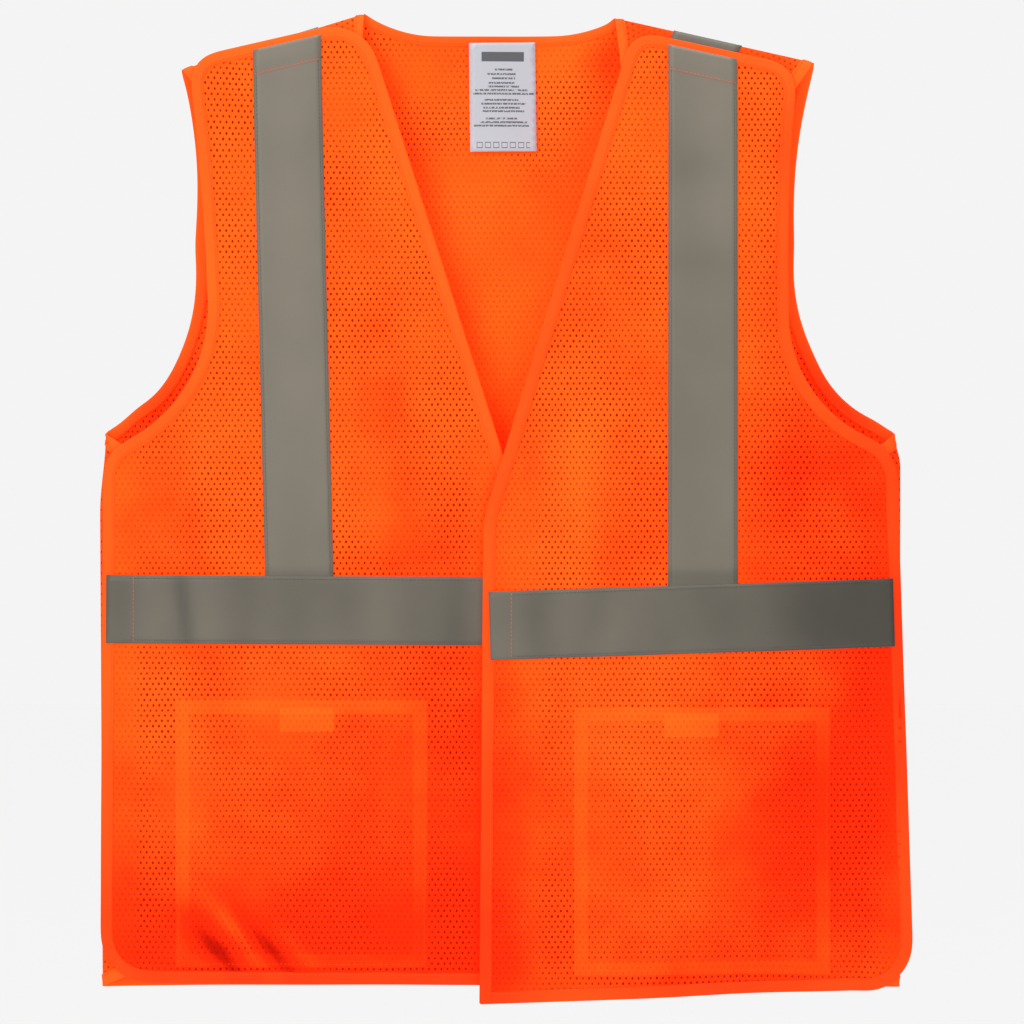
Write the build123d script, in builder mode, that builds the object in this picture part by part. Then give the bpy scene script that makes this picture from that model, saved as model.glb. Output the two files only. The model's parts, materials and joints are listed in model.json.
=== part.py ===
from build123d import *
from dataclasses import dataclass
import os

# High visibility vest of the five-point breakaway kind, laid out square as it comes out of its bag.
# The vest stands upright: +Z is up, the front faces -Y and +X is the wearer's left.
# The origin is the centre of the back neck edge, in the middle of the back cloth's thickness.

os.makedirs("parts", exist_ok=True)

# Cloth and trims (mm)
CLOTH = 0.8            # knitted mesh cloth
SEWN_GAP = 0.3         # air between the cloth and a trim that is sewn to it
WIDE, DEEP, HIGH = 400, 60, 760  # reach of a cutting box, further than any cloth each way
TAPE = 0.5             # reflective tape
TAPE_WIDTH = 50.8
STRIP = 0.6            # hook strip or loop strip
STRIP_WIDTH = 20.0
BINDING_WIDTH = 9.5    # edge binding, folded over the edge of the cloth
BINDING_WALL = 0.6
BINDING_EASE = 0.2     # air between the binding and the cloth inside it
LABEL = 0.4

# Distances from the middle of a cloth to the near face of what lies on it
ON_CLOTH = CLOTH / 2 + SEWN_GAP
BINDING_INSIDE = CLOTH / 2 + BINDING_EASE
BINDING_OUTSIDE = BINDING_INSIDE + BINDING_WALL
ON_BINDING = BINDING_OUTSIDE + BINDING_EASE

# Distances between the middles of two cloths
HOOK_TO_LOOP = 0.4
FLAP_TO_PANEL = ON_CLOTH + STRIP + HOOK_TO_LOOP + STRIP + ON_BINDING
POCKET_DEPTH = 6.0

# Straight edges and folds
HEM_Z = -711.0
SIDE_FOLD_TOP = -298.0
BACK_TAPE_TOP = -406.0
NECK_FLAT = (-60, 40)       # ends of the level part of the back neck edge
SIDE_FLAP = 46.0            # from the side fold to the edge of the flap under the front
SHOULDER_FLAP = 54.0        # from the shoulder fold to the edge of its flap
SHOULDER_TAPE_END = 5.0     # how far the back tape reaches down the flat of the shoulder flap
OVERRUN = 20.0              # how far the back's outline passes its folds, to clear them
LEG = 2.0                   # how far a fold's solid reaches into the flat cloth
TRIM_INSET = BINDING_WIDTH + 1.5
HINGE_GAP = 0.4             # slot between the fixed side and the front that opens

# Closures, pockets and label
CENTRE_STRIP = (-6, -424)
CENTRE_STRIP_LENGTH = 123.0
SHOULDER_STRIP_LENGTH = 70.0
SIDE_STRIP_TOP = -318.0
SIDE_STRIP_BOTTOM = -690.0
POCKET_PATCH = (42.0, 19.0)
POCKET_HEM = 12.0
LABEL_CENTRE = (-2.5, -47)
LABEL_SIZE = (50, 82)
LABEL_CORNER = 3.0
PATCH_CORNER = 2.0


@dataclass
class Side:
    """One half of the vest. Points are (x, z) pairs as seen from the front."""

    name: str
    sign: int
    panel_y: float          # middle of the front cloth
    neck_point: tuple
    shoulder_tip: tuple
    back_armhole: tuple
    fold_x: float           # outermost line of the side fold
    strap_x: float
    waist_tape_z: float
    strip_x: float
    front: dict
    shoulder_strip: tuple   # centre and tilt of the shoulder closure
    pocket: tuple           # centre and size
    pocket_patch: tuple

    @property
    def flap_y(self):
        return self.panel_y + FLAP_TO_PANEL

    @property
    def fold_radius(self):
        return -self.flap_y / 2

    @property
    def hinge_x(self):
        return self.strip_x - self.sign * (STRIP_WIDTH / 2 + 1)

    @property
    def shoulder_line(self):
        neck, tip = self.neck_point, self.shoulder_tip
        return Vector(tip[0] - neck[0], 0, tip[1] - neck[1])

    @property
    def shoulder_up(self):
        return (Vector(0, -1, 0).cross(self.shoulder_line) * self.sign).normalized()

    def above(self, point):
        """Point moved out past the shoulder fold, square to it."""
        return point[0] + self.shoulder_up.X * OVERRUN, point[1] + self.shoulder_up.Z * OVERRUN

    @property
    def shoulder_plane(self):
        """Plane square to the shoulder fold. Its x points up out of the fold, its y to the front."""
        origin = (self.neck_point[0], 0, self.neck_point[1])
        return Plane(origin=origin, x_dir=self.shoulder_up, z_dir=self.shoulder_line * self.sign)

    @property
    def side_plane(self):
        """Plane square to the side fold. Its x points out of the fold, its y to the front."""
        return Plane(origin=(self.fold_x, 0, HEM_Z), x_dir=(self.sign, 0, 0), z_dir=(0, 0, -self.sign))


RIGHT = Side(
    name="right",
    sign=-1,
    panel_y=-29.0,
    neck_point=(-106, 15),
    shoulder_tip=(-242, -26),
    back_armhole=((-231, -96), (-230, -158), (-247, -245), (-297, -293)),
    fold_x=-303.5,
    strap_x=-158,
    waist_tape_z=-431,
    strip_x=-278,
    front={
        "hem": ((20, -709), (-267, -707.5)),
        "hem_corner": (-292.5, -697),
        "side": ((-302.5, -672), (-300.5, -335)),
        "armpit": (-297, -317),
        "armhole": ((-284, -305), (-243, -271), (-222, -190), (-226, -118), (-234, -46)),
        "shoulder_corner": (-231, -28),
        "top": ((-218, -18.5), (-138, 4)),
        "neck_corner": (-110, -1),
        "neckline": ((-97, -19), (20, -386)),
    },
    shoulder_strip=((-175, -39), 15.7),
    pocket=((-152.5, -596.5), (189, 201)),
    pocket_patch=(-148.5, -512),
)

LEFT = Side(
    name="left",
    sign=1,
    panel_y=-33.6,
    neck_point=(81, 10),
    shoulder_tip=(230, -25),
    back_armhole=((217, -96), (215, -158), (233, -243), (289, -295)),
    fold_x=301.0,
    strap_x=146.5,
    waist_tape_z=-437,
    strip_x=275,
    front={
        "hem": ((-19, -724), (268, -714.5)),
        "hem_corner": (293, -704),
        "side": ((303, -679), (292, -338)),
        "armpit": (288, -317),
        "armhole": ((272, -303), (231, -272), (210, -200), (210, -120), (215, -46)),
        "shoulder_corner": (212.5, -30),
        "top": ((200, -20.5), (112, -1.5)),
        "neck_corner": (96, -5),
        "neckline": ((89, -19), (-16, -363)),
    },
    shoulder_strip=((152, -40.5), -12.2),
    pocket=((146, -603), (192, 202)),
    pocket_patch=(138, -516),
)

SIDES = (RIGHT, LEFT)


def across(y):
    """Plane across the vest at depth y. Its normal points to the front."""
    return Plane.XZ.offset(-y)


def save(name, piece):
    piece.part.label = name
    export_step(piece.part, f"parts/{name}.step")


# ---------------------------------------------------------------- outlines


def front_outline(side, y, grow=0.0):
    """Outline of a whole front panel at depth y, made larger all round by grow."""
    edge = side.front
    armhole = edge["armhole"]
    with BuildSketch(across(y)) as outline:
        with BuildLine():
            Line(*edge["hem"])
            ThreePointArc(edge["hem"][1], edge["hem_corner"], edge["side"][0])
            Line(*edge["side"])
            ThreePointArc(edge["side"][1], edge["armpit"], armhole[0])
            ThreePointArc(*armhole[0:3])
            ThreePointArc(*armhole[2:5])
            ThreePointArc(armhole[4], edge["shoulder_corner"], edge["top"][0])
            Line(*edge["top"])
            ThreePointArc(edge["top"][1], edge["neck_corner"], edge["neckline"][0])
            Line(*edge["neckline"])
            Line(edge["neckline"][1], edge["hem"][0])
        make_face()
        if grow:
            offset(amount=grow, kind=Kind.INTERSECTION if grow > 0 else Kind.ARC)
    return outline.sketch


def back_outline(y, grow=0.0):
    """Outline of the laid-out back at depth y. It passes the folded edges by OVERRUN."""
    with BuildSketch(across(y)) as outline:
        with BuildLine():
            Line((NECK_FLAT[0], 0), (NECK_FLAT[1], 0))
            for side, flat_x in zip(SIDES, NECK_FLAT):
                neck_x, neck_z = side.neck_point
                armhole = side.back_armhole
                outer_x = side.fold_x + side.sign * OVERRUN
                ThreePointArc((flat_x, 0), ((flat_x + neck_x) / 2, neck_z * 0.3), side.neck_point)
                Line(side.neck_point, side.above(side.neck_point))
                Line(side.above(side.neck_point), side.above(side.shoulder_tip))
                Line(side.above(side.shoulder_tip), side.shoulder_tip)
                ThreePointArc(side.shoulder_tip, armhole[0], armhole[1])
                ThreePointArc(armhole[1], armhole[2], armhole[3])
                Line(armhole[3], (outer_x, armhole[3][1] - OVERRUN))
                Line((outer_x, armhole[3][1] - OVERRUN), (outer_x, HEM_Z))
            Line((RIGHT.fold_x - OVERRUN, HEM_Z), (LEFT.fold_x + OVERRUN, HEM_Z))
        make_face()
        if grow:
            offset(amount=grow, kind=Kind.INTERSECTION)
    return outline.sketch


def fold_profile(plane, radius, low, high, flap):
    """Section of a half-round fold and its flap, from low to high outside the middle of the cloth.

    The fold's outermost point is the plane's origin, and the flat back lies at y = 0.
    """
    thick = high - low
    middle = (low + high) / 2
    reach = radius + high + 1
    with BuildSketch(plane) as profile:
        with Locations((-radius, radius)):
            Circle(radius + high)
            Circle(radius + low, mode=Mode.SUBTRACT)
            Rectangle(reach, 2 * reach, align=(Align.MAX, Align.CENTER), mode=Mode.SUBTRACT)
        with Locations((-radius - LEG / 2, -middle)):
            Rectangle(LEG, thick)
        with Locations((-(radius + flap) / 2, 2 * radius + middle)):
            Rectangle(flap - radius, thick)
    return profile.sketch


def beyond_fold(plane, radius):
    """Section of all that lies past the start of a fold, near the flat back."""
    with BuildSketch(plane) as section:
        with Locations((-radius, 0)):
            Rectangle(100, 10, align=(Align.MIN, Align.CENTER))
    return section.sketch


# ---------------------------------------------------------------- layers of the back


def lay_flat_back(low, high, grow=0.0):
    """Add the flat middle of the back, from low to high outside the middle of its cloth.

    A grown outline is also cut at the neck points, where it would stand up past the folds.
    """
    extrude(back_outline(high, grow), amount=high - low)
    for side in SIDES:
        past_side = beyond_fold(side.side_plane, side.fold_radius)
        extrude(past_side, amount=2 * HEM_Z, both=True, mode=Mode.SUBTRACT)
        past_shoulder = beyond_fold(side.shoulder_plane, side.fold_radius)
        reach = side.shoulder_line.length + OVERRUN
        extrude(past_shoulder, amount=side.sign * reach, mode=Mode.SUBTRACT)
        if grow:
            extrude(past_shoulder, amount=-side.sign * 2 * grow, mode=Mode.SUBTRACT)


def lay_side_fold(side, low, high, flap=SIDE_FLAP):
    """Add the fold at one side and its flap, from the hem to the armpit."""
    profile = fold_profile(side.side_plane, side.fold_radius, low, high, flap)
    extrude(profile, amount=(HEM_Z - SIDE_FOLD_TOP) * side.sign)


def lay_shoulder_fold(side, low, high, flap=SHOULDER_FLAP):
    """Add the fold over one shoulder and its flap, from the neck point past the shoulder tip."""
    profile = fold_profile(side.shoulder_plane, side.fold_radius, low, high, flap)
    extrude(profile, amount=side.sign * (side.shoulder_line.length + OVERRUN))


def keep_inside(outline, depth=60):
    """Cut what has been laid to an outline, right through the vest."""
    extrude(outline, amount=depth, both=True, mode=Mode.INTERSECT)


def box_between(low, high, mode):
    """Box between two corners."""
    size = [b - a for a, b in zip(low, high)]
    middle = [(a + b) / 2 for a, b in zip(low, high)]
    with Locations(tuple(middle)):
        Box(*size, mode=mode)


def tape_run(x_low, x_high, z_low, z_high):
    """Straight stretch of tape seen from the front."""
    with BuildSketch(across(0)) as run:
        with Locations(((x_low + x_high) / 2, (z_low + z_high) / 2)):
            Rectangle(x_high - x_low, z_high - z_low)
    return run.sketch


# ---------------------------------------------------------------- back

with BuildPart() as back_panel:
    lay_flat_back(-CLOTH / 2, CLOTH / 2)
    for half in SIDES:
        lay_side_fold(half, -CLOTH / 2, CLOTH / 2)
        lay_shoulder_fold(half, -CLOTH / 2, CLOTH / 2)
    keep_inside(back_outline(0))
save("back_panel", back_panel)

# The binding runs round the edge of the back. It is a folded strip: a thick band less the room for the cloth.
with BuildPart() as back_cloth_room:
    lay_flat_back(-BINDING_INSIDE, BINDING_INSIDE, BINDING_EASE)
    for half in SIDES:
        lay_side_fold(half, -BINDING_INSIDE, BINDING_INSIDE, SIDE_FLAP + BINDING_EASE)
    keep_inside(back_outline(0, BINDING_EASE))

with BuildPart() as back_binding:
    lay_flat_back(-BINDING_OUTSIDE, BINDING_OUTSIDE, BINDING_EASE + BINDING_WALL)
    for half in SIDES:
        lay_side_fold(half, -BINDING_OUTSIDE, BINDING_OUTSIDE)
    keep_inside(back_outline(0, BINDING_EASE + BINDING_WALL))
    extrude(back_outline(0, -BINDING_WIDTH), amount=60, both=True, mode=Mode.SUBTRACT)
    add(back_cloth_room.part, mode=Mode.SUBTRACT)

BINDING_RUNS = {
    "back_neck_binding": ((-140, -5, -60), (120, 5, 40)),
    "back_right_armhole_binding": ((RIGHT.fold_x + RIGHT.fold_radius, -5, -400), (-141, 5, 0)),
    "back_left_armhole_binding": ((121, -5, -400), (LEFT.fold_x - LEFT.fold_radius, 5, 0)),
    "back_hem_binding": ((-WIDE, -DEEP, -HIGH), (WIDE, DEEP, -690)),
}
for name, (low_corner, high_corner) in BINDING_RUNS.items():
    with BuildPart() as run:
        add(back_binding.part)
        box_between(low_corner, high_corner, Mode.INTERSECT)
    save(name, run)

for half in SIDES:
    flap_edge = half.fold_x - half.sign * SIDE_FLAP
    with BuildPart() as side_flap_binding:
        band_edge = flap_edge + half.sign * BINDING_WIDTH
        outer_edge = flap_edge - half.sign * (BINDING_EASE + BINDING_WALL)
        slot_edge = flap_edge - half.sign * BINDING_EASE
        y = half.flap_y
        low_x, high_x = sorted((outer_edge, band_edge))
        z_low = HEM_Z + BINDING_WIDTH + 1
        z_high = SIDE_STRIP_TOP - BINDING_WIDTH
        box_between((low_x, y - BINDING_OUTSIDE, z_low), (high_x, y + BINDING_OUTSIDE, z_high), Mode.ADD)
        low_x, high_x = sorted((slot_edge, band_edge + half.sign))
        box_between((low_x, y - BINDING_INSIDE, z_low), (high_x, y + BINDING_INSIDE, z_high), Mode.SUBTRACT)
    save(f"back_{half.name}_side_flap_binding", side_flap_binding)

    with BuildPart() as shoulder_flap_binding:
        length = half.shoulder_line.length
        with BuildSketch(half.shoulder_plane):
            with Locations((-SHOULDER_FLAP - BINDING_EASE - BINDING_WALL, -half.flap_y)):
                Rectangle(BINDING_WIDTH + BINDING_WALL, 2 * BINDING_OUTSIDE, align=(Align.MIN, Align.CENTER))
            with Locations((-SHOULDER_FLAP - BINDING_EASE, -half.flap_y)):
                Rectangle(
                    2 * BINDING_WIDTH, 2 * BINDING_INSIDE, align=(Align.MIN, Align.CENTER), mode=Mode.SUBTRACT
                )
        extrude(amount=half.sign * length)
        keep_inside(back_outline(0, -TRIM_INSET))
    save(f"back_{half.name}_shoulder_flap_binding", shoulder_flap_binding)

with BuildPart() as back_waist_tape:
    lay_flat_back(ON_CLOTH, ON_CLOTH + TAPE)
    keep_inside(tape_run(-WIDE, WIDE, BACK_TAPE_TOP - TAPE_WIDTH, BACK_TAPE_TOP))
save("back_waist_tape", back_waist_tape)

for half in SIDES:
    with BuildPart() as strap:
        lay_flat_back(ON_CLOTH, ON_CLOTH + TAPE)
        lay_shoulder_fold(half, ON_CLOTH, ON_CLOTH + TAPE, half.fold_radius + SHOULDER_TAPE_END)
        strap_low, strap_high = half.strap_x - TAPE_WIDTH / 2, half.strap_x + TAPE_WIDTH / 2
        keep_inside(tape_run(strap_low, strap_high, BACK_TAPE_TOP + SEWN_GAP, OVERRUN))
    save(f"back_{half.name}_strap_tape", strap)

    with BuildPart() as shoulder_loop:
        centre, tilt = half.shoulder_strip
        with BuildSketch(across(half.flap_y - ON_CLOTH)):
            with Locations(Location(centre, tilt)):
                Rectangle(SHOULDER_STRIP_LENGTH, STRIP_WIDTH)
        extrude(amount=STRIP)
    save(f"back_{half.name}_shoulder_loop", shoulder_loop)

    with BuildPart() as side_loop:
        with BuildSketch(across(half.flap_y - ON_CLOTH)):
            with Locations((half.strip_x, (SIDE_STRIP_TOP + SIDE_STRIP_BOTTOM) / 2)):
                Rectangle(STRIP_WIDTH, SIDE_STRIP_TOP - SIDE_STRIP_BOTTOM)
        extrude(amount=STRIP)
    save(f"back_{half.name}_side_loop", side_loop)

with BuildPart() as neck_label:
    with BuildSketch(across(-ON_BINDING)) as label_face:
        with Locations(LABEL_CENTRE):
            RectangleRounded(*LABEL_SIZE, LABEL_CORNER)
    extrude(amount=LABEL)
save("neck_label", neck_label)

# ---------------------------------------------------------------- fronts


def side_of_hinge(side, part_name):
    """Half space on one side of the hinge line, as a box to keep: the side margin or the front."""
    gap = HINGE_GAP / 2 * side.sign
    far = WIDE * side.sign
    ends = (side.hinge_x + gap, far) if part_name == "side" else (-far, side.hinge_x - gap)
    low_x, high_x = sorted(ends)
    box_between((low_x, -DEEP, -HIGH), (high_x, DEEP, HIGH), Mode.INTERSECT)


for half in SIDES:
    y = half.panel_y
    tape_y = y - ON_CLOTH
    inside_y = y + ON_BINDING + STRIP

    with BuildPart() as panel:
        extrude(front_outline(half, y), amount=CLOTH / 2, both=True)

    with BuildPart() as binding:
        extrude(front_outline(half, y, BINDING_EASE + BINDING_WALL), amount=BINDING_OUTSIDE, both=True)
        window = front_outline(half, y, -BINDING_WIDTH)
        extrude(window, amount=2 * BINDING_OUTSIDE, both=True, mode=Mode.SUBTRACT)
        extrude(front_outline(half, y, BINDING_EASE), amount=BINDING_INSIDE, both=True, mode=Mode.SUBTRACT)

    with BuildPart() as waist_tape:
        extrude(front_outline(half, tape_y, -TRIM_INSET), amount=TAPE)
        tape_low, tape_high = half.waist_tape_z - TAPE_WIDTH / 2, half.waist_tape_z + TAPE_WIDTH / 2
        keep_inside(tape_run(-WIDE, WIDE, tape_low, tape_high))

    # The side margin is held by its strip. The rest opens about the line beside it.
    split_pieces = {
        ("side", "side_cloth"): panel,
        ("side", "side_binding"): binding,
        ("side", "waist_tape_end"): waist_tape,
        ("front", "front_panel"): panel,
        ("front", "front_binding"): binding,
        ("front", "waist_tape"): waist_tape,
    }
    for (where, piece_name), whole in split_pieces.items():
        with BuildPart() as piece:
            add(whole.part)
            side_of_hinge(half, where)
        save(f"{half.name}_{piece_name}", piece)

    with BuildPart() as strap_tape:
        extrude(front_outline(half, tape_y, -TRIM_INSET), amount=TAPE)
        strap_low, strap_high = half.strap_x - TAPE_WIDTH / 2, half.strap_x + TAPE_WIDTH / 2
        keep_inside(tape_run(strap_low, strap_high, tape_high + SEWN_GAP, OVERRUN))
    save(f"{half.name}_strap_tape", strap_tape)

    with BuildPart() as side_hook:
        with BuildSketch(across(inside_y)):
            with Locations((half.strip_x, (SIDE_STRIP_TOP + SIDE_STRIP_BOTTOM) / 2)):
                Rectangle(STRIP_WIDTH, SIDE_STRIP_TOP - SIDE_STRIP_BOTTOM)
        extrude(amount=STRIP)
    save(f"{half.name}_side_hook", side_hook)

    with BuildPart() as shoulder_hook:
        centre, tilt = half.shoulder_strip
        with BuildSketch(across(inside_y)):
            with Locations(Location(centre, tilt)):
                Rectangle(SHOULDER_STRIP_LENGTH, STRIP_WIDTH)
        extrude(amount=STRIP)
    save(f"{half.name}_shoulder_hook", shoulder_hook)

    # The centre closure: the hook is on the inside of the left front, the loop on the outside of the right.
    centre_y, centre_name = (inside_y, "centre_hook") if half is LEFT else (y - ON_BINDING, "centre_loop")
    with BuildPart() as centre_strip:
        with BuildSketch(across(centre_y)):
            with Locations(CENTRE_STRIP):
                Rectangle(STRIP_WIDTH, CENTRE_STRIP_LENGTH)
        extrude(amount=STRIP)
    save(f"{half.name}_{centre_name}", centre_strip)

    # The pocket is a flat bag on the inside of the front: a cloth and its sewn side and bottom walls.
    pocket_centre, pocket_size = half.pocket
    pocket_y = y + POCKET_DEPTH
    wall_reach = POCKET_DEPTH - ON_CLOTH
    with BuildPart() as pocket:
        with BuildSketch(across(pocket_y + CLOTH / 2)):
            with Locations(pocket_centre):
                Rectangle(*pocket_size)
        extrude(amount=wall_reach + CLOTH / 2)
        with BuildSketch(across(pocket_y - CLOTH / 2)):
            with Locations((pocket_centre[0], pocket_centre[1] + CLOTH / 2)):
                Rectangle(pocket_size[0] - 2 * CLOTH, pocket_size[1] - CLOTH)
        extrude(amount=wall_reach, mode=Mode.SUBTRACT)
    save(f"{half.name}_pocket", pocket)

    closures = {"pocket_hook": y + ON_CLOTH + STRIP, "pocket_loop": pocket_y - ON_CLOTH}
    for closure_name, closure_y in closures.items():
        with BuildPart() as patch:
            with BuildSketch(across(closure_y)):
                with Locations(half.pocket_patch):
                    RectangleRounded(*POCKET_PATCH, PATCH_CORNER)
            extrude(amount=STRIP)
        save(f"{half.name}_{closure_name}", patch)
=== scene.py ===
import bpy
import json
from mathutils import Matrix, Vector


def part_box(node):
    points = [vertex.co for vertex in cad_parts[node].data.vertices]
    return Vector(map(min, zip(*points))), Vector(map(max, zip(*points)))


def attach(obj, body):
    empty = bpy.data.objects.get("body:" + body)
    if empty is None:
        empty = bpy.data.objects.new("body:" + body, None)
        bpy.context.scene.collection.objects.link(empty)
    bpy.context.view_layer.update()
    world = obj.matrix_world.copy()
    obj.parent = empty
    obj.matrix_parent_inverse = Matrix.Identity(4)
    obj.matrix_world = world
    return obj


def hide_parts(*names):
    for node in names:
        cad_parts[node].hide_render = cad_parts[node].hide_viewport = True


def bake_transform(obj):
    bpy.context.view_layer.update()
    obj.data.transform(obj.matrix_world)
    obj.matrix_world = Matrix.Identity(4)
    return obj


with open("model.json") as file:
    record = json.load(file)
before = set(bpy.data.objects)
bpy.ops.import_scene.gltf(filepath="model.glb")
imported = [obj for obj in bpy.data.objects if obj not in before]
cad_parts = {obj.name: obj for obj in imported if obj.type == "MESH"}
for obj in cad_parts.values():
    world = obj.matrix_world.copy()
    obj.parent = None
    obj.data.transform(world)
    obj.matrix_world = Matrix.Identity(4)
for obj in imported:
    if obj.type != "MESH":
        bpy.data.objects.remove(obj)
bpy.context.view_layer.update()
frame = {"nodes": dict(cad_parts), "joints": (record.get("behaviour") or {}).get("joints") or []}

# High visibility vest: its cloth, trims, thread and finishes, with a studio to show it in.
# Every cloth is cut flat and then laid by a Cloth, which turns a place on the flat cut into a place
# in space. Trims are cut on the same flat places and lifted off the cloth that they are sewn to.

import json
import logging
import math
from dataclasses import dataclass
from enum import Enum
from typing import Iterable, Sequence

import bpy
import numpy as np
from mathutils.geometry import delaunay_2d_cdt

LOG = logging.getLogger("vest")
MM = 0.001
Array = np.ndarray

EDGE_STEP = 3.5 * MM            # spacing of points along a cut edge
CLOTH_THICKNESS = 0.5 * MM
STRIP_THICKNESS = 0.8 * MM
TAPE_THICKNESS = 0.35 * MM
TAPE_WIDTH = 50.8 * MM
STITCH_INSET = 1.7 * MM         # from a binding's inner edge to its row of stitches
TAPE_STITCH_INSET = 2.2 * MM    # from a tape's edge to its row of stitches
VEE_FOOT_Z = -0.30              # where the fronts start to overlap
SHOULDER_STRIP = (0.085, 0.020)
STRIP_CORNER = 1.2 * MM


class Body(str, Enum):
    """Bodies that the pieces ride on."""

    BACK = "back"
    LEFT_SIDE = "left_side"
    LEFT_FRONT = "left_front"
    RIGHT_SIDE = "right_side"
    RIGHT_FRONT = "right_front"


# ---------------------------------------------------------------- plane geometry


def smooth(value: Array) -> Array:
    """S-shaped ramp from 0 to 1."""
    ramp = np.clip(value, 0.0, 1.0)
    return ramp * ramp * (3.0 - 2.0 * ramp)


def ease(value: Array) -> Array:
    """Ramp from 0 to 1 that starts at full slope and levels out."""
    return 1.0 - (1.0 - np.clip(value, 0.0, 1.0)) ** 2


def unit(vectors: Array) -> Array:
    """Vectors of length one, row by row."""
    return vectors / np.maximum(np.linalg.norm(vectors, axis=-1, keepdims=True), 1e-12)


def along_segment(points: Array, start: Array, end: Array) -> tuple[Array, Array]:
    """Measure points against a segment.

    Args:
        points: flat places, one a row.
        start: first end of the segment.
        end: second end of the segment.

    Returns:
        The distance of each point from the segment, and its share of the way along it.
    """
    run = end - start
    share = np.clip((points - start) @ run / (run @ run), 0.0, 1.0)
    return np.linalg.norm(points - start - share[:, None] * run, axis=1), share


def lengths_along(path: Array) -> Array:
    """Distance run along a path at each of its points."""
    return np.concatenate([[0.0], np.cumsum(np.linalg.norm(np.diff(path, axis=0), axis=1))])


def spaced(path: Array, step: float) -> Array:
    """The same path with evenly spaced points, both ends kept."""
    run = lengths_along(path)
    count = max(2, int(round(run[-1] / step)) + 1)
    marks = np.linspace(0.0, run[-1], count)
    return np.stack([np.interp(marks, run, path[:, i]) for i in range(2)], axis=1)


def settled(path: Array, rounds: int = 4) -> Array:
    """A path with its facets smoothed away and its ends kept."""
    path = path.copy()
    for _ in range(rounds):
        path[1:-1] += 0.25 * (path[:-2] + path[2:] - 2.0 * path[1:-1])
    return path


def is_inside(points: Array, outline: Array) -> Array:
    """Which points lie inside a closed outline."""
    inside = np.zeros(len(points), bool)
    x, z = points[:, 0], points[:, 1]
    for (x0, z0), (x1, z1) in zip(outline, np.roll(outline, -1, axis=0)):
        crosses = (z0 > z) != (z1 > z)
        slope = (x1 - x0) / (z1 - z0 if z1 != z0 else 1e-12)
        inside ^= crosses & (x < x0 + (z - z0) * slope)
    return inside


def front_box(node: str) -> tuple[Array, tuple[float, float]]:
    """Middle of a CAD node as seen from the front, and its width and height."""
    low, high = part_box(node)
    return np.array([(low.x + high.x) / 2, (low.z + high.z) / 2]), (high.x - low.x, high.z - low.z)


def slab_rim(nodes: Sequence[str], facing: int, cut_x: float | None = None) -> Array:
    """Outline of the flat CAD faces that look along Y, joined across a straight cut.

    Args:
        nodes: CAD nodes that make one cloth between them.
        facing: -1 for faces that look to the front, +1 for those that look to the back.
        cut_x: place of the upright cut between two nodes, if there is one.

    Returns:
        (x, z) places in order, anticlockwise as seen from the front.
    """
    edges: dict[tuple, int] = {}
    for node in nodes:
        mesh = frame["nodes"][node].data
        faces = [f for f in mesh.polygons if f.normal.y * facing > 0.999]
        far = max(f.center.y * facing for f in faces)
        for face in (f for f in faces if f.center.y * facing > far - 0.05 * MM):
            corners = [mesh.vertices[i].co for i in face.vertices]
            keys = [(round(c.x, 5), round(c.z, 5)) for c in corners]
            for a, b in zip(keys, keys[1:] + keys[:1]):
                if (b, a) in edges:
                    del edges[(b, a)]
                else:
                    edges[(a, b)] = 1
    if cut_x is not None:
        edges = {e: 1 for e in edges if max(abs(e[0][0] - cut_x), abs(e[1][0] - cut_x)) > 0.4 * MM}
    follow = dict(edges.keys())
    starts = sorted(set(follow) - set(follow.values())) or sorted(follow)[:1]
    loop: list[tuple] = []
    point = starts.pop(0)
    while follow:
        loop.append(point)
        nearest = follow.pop(point, None)
        if nearest is None:
            nearest = min(starts, key=lambda s: math.dist(s, point))
            starts.remove(nearest)
        point = nearest
    loop.append(point)
    outline = np.array(loop)
    turn = np.roll(outline, -1, axis=0)
    if (outline[:, 0] * turn[:, 1] - turn[:, 0] * outline[:, 1]).sum() < 0:
        outline = outline[::-1]
    return outline


def split_at_corners(outline: Array, corner: float = math.radians(32)) -> list[Array]:
    """Cut a closed outline at its sharp corners into runs that share their end points."""
    keep = np.linalg.norm(outline - np.roll(outline, 1, axis=0), axis=1) > 0.05 * MM
    outline = outline[keep]
    ahead = unit(np.roll(outline, -1, axis=0) - outline)
    behind = unit(outline - np.roll(outline, 1, axis=0))
    turn = np.arccos(np.clip((ahead * behind).sum(axis=1), -1.0, 1.0))
    sharp = np.flatnonzero(turn > corner)
    outline = np.roll(outline, -sharp[0], axis=0)
    marks = list(sharp - sharp[0]) + [len(outline)]
    closed = np.vstack([outline, outline[:1]])
    return [closed[a: b + 1] for a, b in zip(marks, marks[1:])]


# ---------------------------------------------------------------- how the cloth lies


@dataclass(frozen=True)
class Crease:
    """A soft fold in a cloth: a ridge, or a valley where its height is negative."""

    start: tuple[float, float]
    end: tuple[float, float]
    width: float
    height: float
    step: float = 0.0

    def lift(self, flat: Array) -> Array:
        """Height of the crease over each flat place."""
        start, end = np.array(self.start), np.array(self.end)
        run = end - start
        length = float(np.linalg.norm(run))
        along = (flat - start) @ run / length
        across = (flat - start) @ np.array([-run[1], run[0]]) / length / self.width
        fade = smooth((along + self.width) / (2.5 * self.width))
        fade = fade * smooth((length + self.width - along) / (2.5 * self.width))
        shape = np.exp(-across * across) * (1.0 + self.step * across)
        return self.height * shape * fade


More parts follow.
